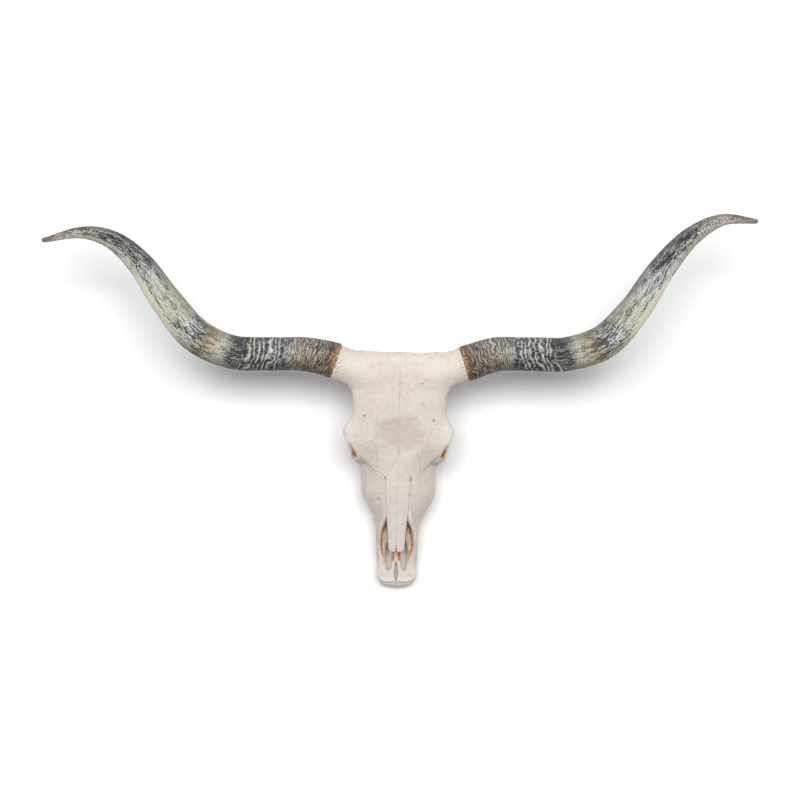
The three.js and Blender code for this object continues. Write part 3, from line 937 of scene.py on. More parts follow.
# how far each point sinks (-) or stands out along its normal, and its tints
def boneRelief(points, normals, depth, edge):
    x, y, z = points.T
    up = fade(normals[:, 2], 0.1, 0.5)
    rise = np.zeros(len(points))
    crease = np.zeros(len(points))

    warped = points.copy()
    for axis in (0, 1):
        for i, (size, push) in enumerate(relief["warp"]):
            warped[:, axis] += push * lumps(points, size, 40 + 2 * axis + i)
    wx, wy = warped[:, 0], warped[:, 1]

    cx, cy, rx, ry, deep = relief["browHollow"]
    slow = 0.22 * lumps(points, 42, 44) + 0.1 * lumps(points, 15, 45)
    away = np.hypot((x - cx) / rx, (y - cy) / ry) + slow
    rise -= deep * fade(away, 1.25, 0.45) * up
    # painted shade over the hollow between the eyes, on top of its modelled dip
    shade = 0.75 * fade(away, 1.3, 0.35) * up * (0.85 + 0.3 * lumps(points, 11, 46))

    cx, cy, rx, ry, deep = relief["tearHollow"]
    hollow = fade(np.hypot((np.abs(x) - cx) / rx, (y - cy) / ry) + slow, 1.2, 0.3)
    rise -= deep * hollow * up
    cool = 0.6 * hollow * up

    for px, py, rx, ry, deep, brown in relief["pits"]:
        bite = np.exp(-(((wx - px) / rx) ** 2 + ((wy - py) / ry) ** 2) ** 1.3) * up
        rise -= deep * bite
        crease = np.maximum(crease, brown * bite)
    broken = 0.65 + 0.5 * lumps(points, 9, 5)  # grooves come and go
    for wide, deep, brown, line in relief["grooves"]:
        away = offLine(warped, line)
        bite = np.exp(-((away / wide) ** 2)) * up * np.clip(broken, 0.2, 1.1)
        rise += 0.7 * deep * (0.5 * np.exp(-((away / wide - 2) ** 2)) * up - bite)
        crease = np.maximum(crease, 0.75 * brown * bite * fade(broken, 0.3, 1.0))

    wide, deep = relief["midlineSuture"]
    along = np.stack([0 * y, y, 0 * z], 1)
    drift = 0.9 * lumps(along, 14, 3) + 0.5 * lumps(along, 5, 4)
    middle = np.exp(-(((x - drift) / wide) ** 2)) * up
    strength = np.interp(y, *np.array(relief["midlineStrength"]).T)
    rise -= deep * middle * strength
    crease = np.maximum(crease, 0.85 * middle * strength * np.clip(broken, 0.3, 1))

    # sutures between the bones
    line = np.exp(-((edge / 0.9) ** 2)) * fade(depth, 4, 1)
    crease = np.maximum(crease, 0.22 * line * np.clip(broken, 0, 1))

    # rough porous bone beside the horns
    toHorn = -pastCollar(np.abs(x), y, z)
    rough = fade(toHorn, relief["collarRough"] * (0.8 + 0.5 * lumps(points, 16, 8)), 2)
    rough = rough * fade(np.abs(x), 88, 104)
    apart, reach, deep = relief["pores"]
    pores = np.clip(reach - specks(points, apart, 2), 0, 1) / reach
    rise += rough * (1.1 * lumps(points, 7, 9) + 0.7 * lumps(points, 3.2, 10) - deep * pores)
    crease = np.maximum(crease, 0.7 * rough * pores)
    crumbs = fade(toHorn, 11, 4) * fade(np.abs(x), 96, 108) * fade(lumps(points, 3.4, 62), 0.05, 0.4)
    rise -= 0.9 * crumbs
    crease = np.maximum(crease, 0.75 * crumbs)
    lip = fade(toHorn, 9, 2) * fade(np.abs(x), 88, 104)
    rise += lip

    # streaks over the temples, swells, and veins and cracks
    temple = fade(np.abs(x), 70, 88) * between(y, -150, -120, -70, -20) * (1 - rough)
    rise += temple * 0.35 * lumps(points, (2.2, 22, 2.2), 12)
    for i, (size, height) in enumerate(relief["swells"]):
        rise += height * lumps(points, size, 13 + i)
    crinkle = 0
    for i, (size, thin, patch, low, high) in enumerate(relief["veins"]):
        veins = np.exp(-((lumps(points, size, 50 + 2 * i) / thin) ** 2))
        crinkle = np.maximum(crinkle, veins * fade(lumps(points, patch, 51 + 2 * i), low, high))
    rise -= relief["veinDepth"] * crinkle * (1 - rough)
    crease = np.maximum(crease, 0.13 * crinkle * up)
    apart, reach, deep = relief["tinyPores"]
    tiny = np.clip(reach - specks(points, apart, 16), 0, 1) / reach
    rise -= deep * tiny
    crease = np.maximum(crease, 0.3 * tiny * fade(lumps(points, 30, 17), 0.0, 0.4))

    # cool grey on the nasals and the muzzle, painted highlights on the rims, and brown where the hollows go
    # deep, partly stain and partly painted shade
    for grey in (
        0.35 * fade(lumps(points, 48, 18), 0.1, 0.6),
        0.6 * fade(y, -280, -330) * fade(np.abs(x), 30, 24),
        0.7 * fade(y, -440, -462) * fade(lumps(points, 11, 61), -0.1, 0.4),
    ):
        cool = np.maximum(cool, grey * up)
    # painted highlights: on the eye rims, on the lip beside the horns and in scattered patches on upward
    # faces
    eyeRim = np.exp(-(((np.abs(x) - 106) / 14) ** 2) - ((y + 172) / 26) ** 2)
    bright = 0.9 * lip * fade(lumps(points, 6, 19), -0.6, 0.1)
    bright = np.maximum(bright, 0.3 * fade(lumps(points, (9, 14, 9), 20), 0.3, 0.75) * up)
    return rise, {
        # brown that grows with depth below the uncut head: partly stain, partly painted shade
        "stainAndShade": fade(depth, 3, 26),
        "shade": np.maximum(shade, 0.3 * fade(y, -470, -492) * up),
        "crease": crease,
        "rough": rough,
        "cool": cool,
        "bright": np.maximum(bright, 0.9 * eyeRim * fade(normals[:, 2], -0.1, 0.2)),
    }


# small unevenness of the whole head, so that its two sides aren't mirror images
def uneven(points):
    amount = fade(np.abs(points[:, 0]), 112, 80) * fade(points[:, 2], 5, 60)
    lean = np.interp(points[:, 1], *np.array(relief["lean"]).T)
    out = points.copy()
    out[:, 0] += amount * 1.3 * lumps(points, 95, 21)
    out[:, 0] += fade(np.abs(points[:, 0]), 20, 44) * lean
    out[:, 1] += amount * 1.2 * lumps(points, 80, 22)
    out[:, 2] += amount * 1.3 * lumps(points, 110, 23)
    return out


def boneTints(name, raw, points, normals, hull):
    folded = raw.copy()
    folded[:, 0] = np.abs(raw[:, 0])
    depth = -sampled(hull, folded)
    edge = np.full(len(raw), 9.0)
    if name in regions:
        edge = np.minimum(np.abs(boneSpace(name, *folded.T)), 9)
    x, y, z = points.T
    (cx, cy, cz), (rx, ry, rz) = sides["eyeSocket"]
    inSocket = np.sqrt(((np.abs(x) - cx) / rx) ** 2 + ((y - cy) / ry) ** 2 + ((z - cz) / rz) ** 2)
    socket = 0.5 * fade(inSocket, 1.1, 0.98) * fade(np.abs(x), 104, 98)
    if name == "nasal":
        brown = 0.55 * fade(normals[:, 2], 0.3, -0.2) * fade(y, -320, -345)
    else:
        brown = np.maximum(inAirway(points), socket)
    if name in ("nasal", "premaxilla", "maxilla"):
        depth = np.where(y < -290, 0, depth)
    rise, tints = boneRelief(points, normals, depth, edge)
    tints["stainAndShade"] = np.maximum(tints["stainAndShade"], brown)
    return rise, tints


airway = {
    "floor": 0.18,  # how brown the peach floor is
    "line": 0.45,  # and the line under the edge of the opening
    "lineWide": [(-430, 1.2), (-392, 1.7), (-366, 3.4), (-350, 6.0)],  # its half width along y
    "start": 0.36,  # browner where the opening begins
    "deep": 0.7,
    "stripe": (6.2, 2.4, 0.68),  # brown under the nasal tips: place, half width and strength
    "middle": 0.05,
}


# brown of the air passage behind the nasal openings: a line under their edge, widest at the top, over a
# peach floor that turns brown where it runs deep; that browning with depth is partly painted shade
def inAirway(points):
    x, y, z = points.T
    side = np.abs(x)
    rim = np.array(incisive["nasalProcess"], float)[::-1]
    edgeX = np.interp(y, rim[:, 1], rim[:, 0] - rim[:, 3])
    below = np.interp(y, rim[:, 1], rim[:, 2]) - z
    start = fade(y, -388, -369)
    reach = edgeX + 0.5 + 2.5 * start
    inside = fade(side, reach + 2, reach) * fade(y, -300, -340) * fade(y, -470, -450) * fade(below, -9, -4)
    inside *= 1 - 0.75 * fade(side, 17, 14) * fade(y, -438, -450)
    wide = np.interp(y, *np.array(airway["lineWide"]).T) * (1 + 0.6 * lumps(points, 9, 60))
    line = airway["line"] * np.exp(-(((side - edgeX) / wide) ** 2)) * fade(y, -446, -426)
    deep = airway["deep"] * fade(below, 16, 50) * fade(y, -412, -398)
    middle = fade(side, 13, 10) * fade(y, -462, -444) * fade(y, -390, -404)
    place, half, strength = airway["stripe"]
    stripes = strength * np.exp(-(((side - place) / half) ** 2)) * fade(y, -456, -439)
    passage = inside * np.clip(airway["floor"] + line + airway["start"] * start + deep, 0, 1)
    return np.maximum(passage, middle * (airway["middle"] + stripes))


def makeBones():
    field, hull = makeSkullField()
    print("skull field made")
    nasals = newField()
    join(nasals, body(noseParts["nasals"], upper=2, lower=2.6, ends=2), 0.5)
    carve(nasals, tube(noseParts["tipNotch"]), 1)
    carve(nasals, ball(*noseParts["tipScoop"]), 1)
    front = newField()
    join(front, body(incisive["plate"], ends=2), 0.5)
    carve(front, ball(*incisive["holeFront"]), 2)
    for key, soft in (
        ("nasalProcess", 5),
        ("bar", 5),
        ("innerWall", 3),
        ("palateProcess", 3),
        ("ridge", 2),
        ("lipRidge", 3),
    ):
        join(front, tube(incisive[key]), soft)
    carve(front, tube(incisive["slit"]), 1.5)

    x, y, z = np.abs(axes[0])[:, None, None], axes[1][None, :, None], axes[2][None, None, :]
    loose = wander(x, y, z)
    nasalGap = nasals - seam["gap"] / 2
    front = np.maximum(front, outside("incisive", x, y, z, loose) + seam["gap"] / 2)
    front = np.maximum(front, -nasalGap)
    field = np.maximum(field, -nasalGap)
    fields = {"nasal": (nasals, nasals), "premaxilla": (front, front)}
    for name in list(regions)[1:]:
        fields[name] = (np.maximum(field, boneSpace(name, x, y, z)), field)
    material = boneMaterial()
    for name, (bone, whole) in fields.items():
        if name in midline:
            bone = np.concatenate([bone[lattice["spare"] + 1 :][::-1], bone[lattice["spare"] :]])
            lowX = -axes[0][-1]
        else:
            bone = np.maximum(bone, -seam["pastMidline"] - axes[0][:, None, None])
            lowX = axes[0][0]
        cut = cropped(bone, 3 * step)
        low = [lowX + cut[0].start * step, axes[1][cut[1].start], axes[2][cut[2].start]]
        points, quads = withoutCrumbs(*quadsOf(bone[cut], low, step))
        if name in midline:
            makeBone(name, name, points, quads, whole, hull, material)
        else:
            makeBone(name, name + "_left", points, quads, whole, hull, material)
            makeBone(name, name + "_right", points * [-1, 1, 1], quads[:, ::-1], whole, hull, material)


def makeBone(name, node, points, quads, whole, hull, material):
    normals = wayOut(whole, points)
    rise, tints = boneTints(name, points, uneven(points), normals, hull)
    points = uneven(points) + normals * rise[:, None]
    points[:, 2] = np.maximum(points[:, 2], 0)
    piece = makePiece(node.replace("_", " ").title().replace(" ", ""), points, quads, tints, material)
    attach(piece, "root")
    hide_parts(node)
    print(node, len(quads), "quads")


def makeTeeth():
    size = cheekTeeth["step"]
    power = cheekTeeth["roundness"]
    styleAt, styleRadius = cheekTeeth["style"]
    pitAt, pitRadius, pitHalf, pitDepth = cheekTeeth["pit"]
    cuspHigh, crownSlope = cheekTeeth["cusp"]
    axisX, axisY, axisZ = (np.arange(a, b, size) for a, b in cheekTeeth["box"])
    x, y, z = axisX[:, None, None], axisY[None, :, None], axisZ[None, None, :]
    field = np.full((len(axisX), len(axisY), len(axisZ)), empty)
    for cx, cy, length, half, crown in toothCentres():
        lobes = 1 if length < cheekTeeth["oneLobe"] else 2
        lobe = length / lobes
        tooth = np.full(field.shape, empty)
        for i in range(lobes):
            ly = cy + (i - (lobes - 1) / 2) * lobe
            u = np.abs(x - cx) / half
            v = np.abs(y - ly) / (lobe / 2 + 0.2)
            narrow = 0.92 + 0.08 * fade(z, crown, crown + 8)
            column = ((u**power + v**power) ** (1 / power) / narrow - 1) * min(half, lobe / 2)
            tooth = softLow(tooth, column, 0.8)
            style = np.hypot(x - cx - half * styleAt, y - ly) - styleRadius
            tooth = softLow(tooth, style, 1.6)
            for side in (-1, 1):
                off = x - cx - side * half * pitAt
                ring = np.hypot(off, (y - ly) * 0.75)
                crescent = np.hypot(ring - half * pitRadius, np.maximum(off * side, 0)) - pitHalf
                tooth = softHigh(tooth, -np.maximum(crescent, z - crown - pitDepth), 0.6)
        cusp = crown + cuspHigh * (1 - np.cos((y - cy) * 2 * np.pi * lobes / length)) * (crown > 0)
        slope = crownSlope * (1 - np.abs(x - cx) / half) * (crown > 0)
        tooth = softHigh(tooth, cusp - z + slope, 1.2)
        field = np.minimum(field, tooth)
    field = np.maximum(field, z - cheekTeeth["root"])
    points, quads = withoutCrumbs(*quadsOf(field, (axisX[0], axisY[0], axisZ[0]), size))
    normals = pointNormals(points, quads)
    wear = 0.16 * lumps(points, (3, 3, 12), 31) + 0.06 * lumps(points, 1.6, 32)
    points = points + normals * wear[:, None]
    points[:, 2] = np.maximum(points[:, 2], 0)
    groove = 0.5 * fade(lumps(points, (4, 4, 14), 33), 0.0, 0.6)
    groove = np.clip(groove + fade(points[:, 2], 22, 40) * 0.5, 0, 1)
    down = fade(normals[:, 2], -0.4, -0.8)
    groove = np.maximum(groove, down * fade(lumps(points, 3, 34), -0.3, 0.4) * 0.8)
    material = toothMaterial()
    for side, mirror in (("left", 1), ("right", -1)):
        placed, turned = points * [mirror, 1, 1], quads[:, ::mirror]
        piece = makePiece("CheekTeeth" + side.title(), placed, turned, {"groove": groove}, material)
        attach(piece, "root")
        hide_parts("maxilla_" + side)
    print("cheek teeth made:", len(quads), "quads a side")


horn = {
    "sides": 112,
    "lip": 2.4,  # thickness of the sheath at its edge
    "hollow": 12,  # how far the sheath's edge stands round the bone core
    "fineSteps": 0.62,  # mm between rings of points where the growth rings are
    "wideSteps": 2.1,
    "ringsTo": 226,
    "fullRound": 36,  # radius at which the pattern is drawn, mm
    # mm from one growth ring to the next, near the bone and further out, and between the single pale ones
    "tightRings": 6.2,
    "wideRings": 11.5,
    "loneRings": 9.1,
    # mm from the base where the rings, flakes and black streak start, are full, are last full and end
    "tightZone": (6, 18, 96, 116),
    "wideZone": (108, 113, 196, 202),
    "flakeZone": (215, 240, 330, 400),
    "streakZone": (470, 500, 585, 625),
    # noises: mm along, mm round, mm moved and seed
    "ringWaves": [(70, 17, 4.5, 1), (20, 8, 1.6, 2), (8, 4, 0.5, 20)],
    "bandWaves": [(40, 6, 10, 8), (14, 3, 7, 22)],
    "edgeWaves": [(99, 9, 0.9, 12), (99, 3.5, 0.5, 13)],
    # how far the rings stand out, mm: `saw` is their slope up to the next one and `line` their crest
    "ringHeight": {"tight": 0.38, "saw": 0.75, "line": 0.95, "lone": 0.45},
}


def waves(space, rows, salt):
    return sum(mm * lumps(space, (along, around, around), salt + seed) for along, around, mm, seed in rows)


# along a horn from its base: mm, dark and pale colour, and the share of dark on its top, on the side towards
# the poll and on the side towards the nose
hornBands = [
    (0, "#6b4a24", "#c3a273", 0.25, 0.3, 0.3),
    (4, "#5d4019", "#9c7740", 0.42, 0.45, 0.42),
    (10, "#3c260e", "#86602f", 0.58, 0.62, 0.55),
    (17, "#291b10", "#6b4f31", 0.68, 0.72, 0.62),
    (25, "#2c2118", "#9c9182", 0.6, 0.5, 0.64),
    (55, "#352516", "#a99c8a", 0.54, 0.45, 0.62),
    (85, "#403020", "#bfb39f", 0.44, 0.42, 0.56),
    (99, "#343a3e", "#b4b5ae", 0.42, 0.48, 0.5),
    (107, "#23282d", "#949da4", 0.46, 0.48, 0.5),
    (117, "#08090b", "#8c959c", 0.62, 0.6, 0.64),
    (155, "#050607", "#88929a", 0.7, 0.62, 0.76),
    (188, "#0d0e10", "#6f7779", 0.82, 0.8, 0.76),
    (214, "#121416", "#7d8283", 0.9, 0.92, 0.68),
    (230, "#1d1f20", "#9a9b94", 0.66, 0.74, 0.5),
    (246, "#60615a", "#b8b7ad", 0.34, 0.38, 0.42),
    (264, "#6b6656", "#bbb6a5", 0.38, 0.46, 0.42),
    (284, "#4d4433", "#a4987a", 0.56, 0.62, 0.52),
    (305, "#25282c", "#bdbdb6", 0.58, 0.55, 0.35),
    (324, "#15181d", "#cacdcc", 0.6, 0.55, 0.3),
    (342, "#272b30", "#c8c9c3", 0.5, 0.5, 0.15),
    (358, "#5f5e55", "#c0bcae", 0.4, 0.5, 0.1),
    (395, "#6d695c", "#c1bcac", 0.38, 0.52, 0.06),
    (436, "#575b5d", "#bfbfb6", 0.42, 0.58, 0.05),
    (462, "#2f353b", "#c0c3c1", 0.48, 0.66, 0.06),
    (490, "#0b0c0f", "#bcbebe", 0.6, 0.68, 0.14),
    (535, "#070809", "#c6c4be", 0.6, 0.64, 0.26),
    (580, "#0e0e0f", "#c8c4ba", 0.56, 0.6, 0.26),
    (618, "#4d463b", "#cdc8bb", 0.46, 0.58, 0.2),
    (668, "#5b5346", "#cfc9ba", 0.44, 0.6, 0.2),
    (726, "#4a4234", "#a79a84", 0.56, 0.6, 0.5),
]
# colour that the two sides turn to
hornEdges = {
    "pollSide": [
        (0, "#7a5328"), (22, "#6c7278"), (55, "#7b8187"), (92, "#7c7468"), (122, "#3b3f45"),
        (222, "#4a4b48"), (250, "#9a937f"), (290, "#857c63"), (340, "#77715f"), (400, "#8c866f"),
        (455, "#6b6c66"), (500, "#45474b"), (580, "#5a5855"), (640, "#77705f"), (726, "#5d5140"),
    ],
    "noseSide": [
        (0, "#7d5a30"), (22, "#5a4229"), (55, "#6f5a42"), (115, "#5c4a35"), (195, "#3f3930"),
        (250, "#b0a896"), (310, "#c2b799"), (360, "#e5dcc2"), (470, "#e6dec8"), (530, "#cbc6b8"),
        (660, "#cfc8b6"), (726, "#94866d"),
    ],
}


# the rings of points along a horn: how far out, middle and radius, and the way ahead, to the side and up
def hornStations(side):
    path = through(hornRows[side], 60)
    gaps = np.linalg.norm(np.diff(path[:, :3], axis=0), axis=1)
    along = np.concatenate([[0], np.cumsum(gaps)])
    total = along[-1]
    ringed = np.arange(0, horn["ringsTo"], horn["fineSteps"])
    plain = np.arange(horn["ringsTo"], total - 3, horn["wideSteps"])
    stations = np.concatenate([ringed, plain, [total - 2, total - 1, total - 0.4, total]])
    spine = np.stack([np.interp(stations, along, path[:, k]) for k in range(4)], 1)
    ahead = np.gradient(spine[:, :3], stations, axis=0)
    ahead /= np.linalg.norm(ahead, axis=1, keepdims=True)
    mirror = -1 if side == "left" else 1
    across = np.cross(ahead, [0, 0, 1.0]) * mirror  # towards +y at the base
    across /= np.linalg.norm(across, axis=1, keepdims=True)
    high = np.cross(across, ahead) * mirror
    high *= np.sign(high[:, 2:3])
    return stations, spine, ahead, across, high


# share of dark colour, which changes along the horn and round it
def darkShare(side, s, a, space, salt, toPoll, toNose):
    knots = [row[0] for row in hornBands]
    ragged = s + waves(space, horn["bandWaves"], salt)
    top, pollSide, noseSide = (np.interp(ragged, knots, [row[k] for row in hornBands]) for k in (3, 4, 5))
    share = top * (1 - toPoll - toNose) + pollSide * toPoll + noseSide * toNose
    share += (0.3 + 0.12 * fade(s, 230, 260)) * lumps(space, (46, 11, 11), salt + 23)
    halfTurn = a - np.where(a > np.pi, 2 * np.pi, 0)
    turned = halfTurn + 0.25 * lumps(space, (40, 40, 40), salt + 24)
    # a near-black streak on top of the outer half, paler towards the nose
    streak = np.exp(-(((turned - 0.3) / 0.4) ** 2))
    share += 0.36 * streak * between(s, *horn["streakZone"])
    share += 0.3 * fade(s, 470, 500) * lumps(space, (30, 5, 5), salt + 26)
    share -= 0.25 * fade(turned, -0.2, -0.6) * fade(s, 480, 510)
    if side == "left":
        smudge = np.hypot((s - 261) / 7, (halfTurn - 0.1) / 0.22)
        share += 0.6 * fade(smudge, 1.3, 0.5)
    return share


# The sheath's edge turns in and runs up the hollow to a blind end round the bone core. Gives all points, the
# triangles between them and the number of points inside.
def closedHorn(points, spine, ahead):
    sides = horn["sides"]
    inner = []
    for back, thick in ((0.5, horn["lip"] * 0.5), (1.6, horn["lip"]), (horn["hollow"], horn["lip"] + 3.4)):
        first = points[:sides]
        inward = first - spine[0, :3]
        inward -= ahead[0] * (inward @ ahead[0])[:, None]
        size = np.linalg.norm(inward, axis=1, keepdims=True)
        inner.append(first - inward / size * thick + ahead[0] * back * (back > 0.5))
    rings = np.vstack([*inner[::-1], points])
    count = len(rings) // sides
    tipAt, rootAt = len(rings), len(rings) + 1
    rings = np.vstack([rings, points[-sides:].mean(0) + ahead[-1] * 0.2, inner[-1].mean(0)])
    here = np.arange(sides)
    after = np.roll(here, -1)
    ring = np.stack([here, after, after + sides, here + sides], 1)
    quads = np.vstack([ring + i * sides for i in range(count - 1)])
    # which way the rings turn differs between the two horns
    p0, p1, p2, p3 = (rings[quads[:, k]] for k in range(4))
    flip = np.einsum("ij,ij->i", np.cross(p2 - p0, p3 - p1), p0 - spine[:, :3].mean(0)).sum() < 0
    last = (count - 1) * sides
    caps = [
        np.stack([last + here, last + after, np.full(sides, tipAt)], 1),
        np.stack([after, here, np.full(sides, rootAt)], 1),
    ]
    triangles = np.vstack([quads[:, [0, 1, 2]], quads[:, [0, 2, 3]], *caps])
    if flip:
        triangles = triangles[:, ::-1]
    return rings, triangles, len(inner) * sides


def makeHorn(side, material):
    stations, spine, ahead, across, high = hornStations(side)
    total = stations[-1]
    sides = horn["sides"]
    s = np.repeat(stations, sides)
    a = np.tile(np.linspace(0, 2 * np.pi, sides, endpoint=False), len(stations))
    outer = spine[:, 3].repeat(sides)
    thin = outer / horn["fullRound"]
    patternRound = horn["fullRound"] * np.sqrt(thin)  # the pattern narrows less than the horn does
    space = np.stack([s, patternRound * np.sin(a), patternRound * np.cos(a)], 1)
    salt = 0 if side == "left" else 40

    # growth rings: tight near the bone, wider and broken further out, outwards on the side towards the nose
    sweep = 5 * np.sin(a) - 11 * fade(np.sin(a), -0.05, -0.95)
    ringAt = s + waves(space, horn["ringWaves"], salt) + sweep
    ringAt = ringAt + 2.4 * np.sin(s / 7.3 + salt) + 1.6 * np.sin(s / 4.1)
    phase = 2 * np.pi * ringAt / horn["tightRings"]
    tight = 0.5 + 0.5 * np.cos(phase + 1.6 * lumps(space, (9, 14, 14), salt + 3))
    tightZone = between(s, *horn["tightZone"])
    spacing = horn["wideRings"]
    wide = ringAt / spacing
    cell = wide - np.floor(wide)
    thick = np.clip(1.7 + 1.9 * lumps(space, (12, 12, 12), salt + 21), 0.8, 3.6)
    crest = np.exp(-(((cell - 0.5) * spacing / thick) ** 2))
    crest = crest * fade(lumps(space, (14, 12, 12), salt + 4), -0.5, -0.1)
    second = np.exp(-((np.abs(cell - 0.22) * spacing / 0.8) ** 2))
    second = second * fade(lumps(space, (14, 10, 10), salt + 5), 0.05, 0.3)
    wideZone = between(ringAt, *horn["wideZone"])
    saw = cell * wideZone
    line = np.maximum(crest, 0.7 * second) * wideZone
    lone = np.exp(-(((ringAt % horn["loneRings"]) - 4.5) / 0.8) ** 2)
    lone = lone * fade(lumps(space, (12, 16, 16), salt + 6), -0.1, 0.3) * tightZone
    fine = fade(tight, 0.6, 0.95) * tightZone * fade(lumps(space, (10, 9, 9), salt + 25), -0.25, 0.3)
    # dark lines in the hollows between the rings: partly the rings' own dark lines, partly painted shade
    grooved = (1 - tight) ** 1.5 * tightZone * 0.9 + fade(saw, 0.25, 0.0) * wideZone * 0.7

    stand = horn["ringHeight"]
    flakes = lumps(space, (16, 2.4, 2.4), salt + 7)
    rise = (
        stand["tight"] * tight * tightZone
        + stand["saw"] * saw
        + stand["line"] * line
        + stand["lone"] * lone
        + thin * 0.3 * flakes * (0.35 + between(s, *horn["flakeZone"]))
        + 0.5 * lumps(space, (70, 26, 26), salt + 9)
        + thin * 0.14 * lumps(space, (3.2, 2.4, 2.4), salt + 10)
        + 0.25 * lumps(space, (5, 5, 5), salt + 11) * tightZone
    )
    rise *= fade(s, total, total - 25)
    rise -= 0.9 * fade(s, 5, 0) - 0.5 * fade(s, 14, 6) * (1 - fade(s, 5, 0))
    tipRound = np.sqrt(np.clip(1 - fade(s, total - 3.2, total) ** 2, 0.0004, 1))
    radius = np.maximum((outer + rise) * tipRound, 0.05)
    slip = waves(space, horn["edgeWaves"], salt) * fade(s, 12, 0) + 0.4
    points = spine[:, :3].repeat(sides, 0)
    for direction, size in ((ahead, slip), (across, radius * np.sin(a)), (high, radius * np.cos(a))):
        points = points + direction.repeat(sides, 0) * size[:, None]
    rings, triangles, lipCount = closedHorn(points, spine, ahead)

    toPoll, toNose = fade(np.sin(a), 0.2, 0.85), fade(np.sin(a), -0.15, -0.8)
    # on the sheath, and on the part of it that turns in
    tints = {
        "hornSpace": (space, np.tile(space[:sides], (lipCount // sides, 1))),
        "along": (s / hornLook["length"], 0),
        "toPoll": (toPoll, 0),
        "toNose": (toNose, 0),
        "share": (darkShare(side, s, a, space, salt, toPoll, toNose), 0.5),
        "across": (0.96 * fade(s, 124, 100) + 0.6 * between(s, 100, 124, 192, 204), 1),
        "blotch": (0.8 * between(s, 98, 112, 192, 204) + 0.45 * fade(s, 590, 640), 0),
        "streaky": (0.62 - 0.26 * fade(s, 232, 262) + 0.12 * between(s, 470, 500, 590, 620), 0.5),
        "crackle": (0.15 + 0.85 * fade(s, 470, 560), 0),
        "cream": (np.maximum(np.maximum(line, 0.75 * lone), 0.42 * fine), 0),
        "groove": (np.clip(grooved, 0, 1), 1),
    }
    for key, (values, atLip) in tints.items():
        pad = np.broadcast_to(np.asarray(atLip, float), (lipCount, *values.shape[1:]))
        tints[key] = np.concatenate([pad, values, values[-1:], pad[:1]])
    piece = makePiece("Horn" + side.title(), rings, triangles, tints, material)
    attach(piece, "root")
    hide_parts("horn_" + side)
    print("horn", side, len(triangles), "triangles, length", round(total))


hornLook = {
    "length": 728.0,  # of the sheath along its middle, mm
    "cream": "#dfd8c8",
    "tan": "#b3977a",
    "deep": "#231f1b",
    # patterns: mm along the horn and mm round it
    "noise": {
        "shift": (60, 9),
        "fibre": (17.0, 2.9),  # fibres of keratin, drawn coarser than the real 0.5 so that they show
        "ringed": (2.2, 17.0),  # fine lines round the horn near the bone
        "speck": (3.2, 1.9),
        "blotch": (9, 6.5),
        "patch": (16, 12),
    },
    "crack": 4.6,  # mm between the fine cracks of the old horn towards the tip
    # values painted on the horn's points
    "painted": (
        "along", "toPoll", "toNose", "share", "across", "blotch", "crackle", "streaky", "cream", "groove",
    ),
}


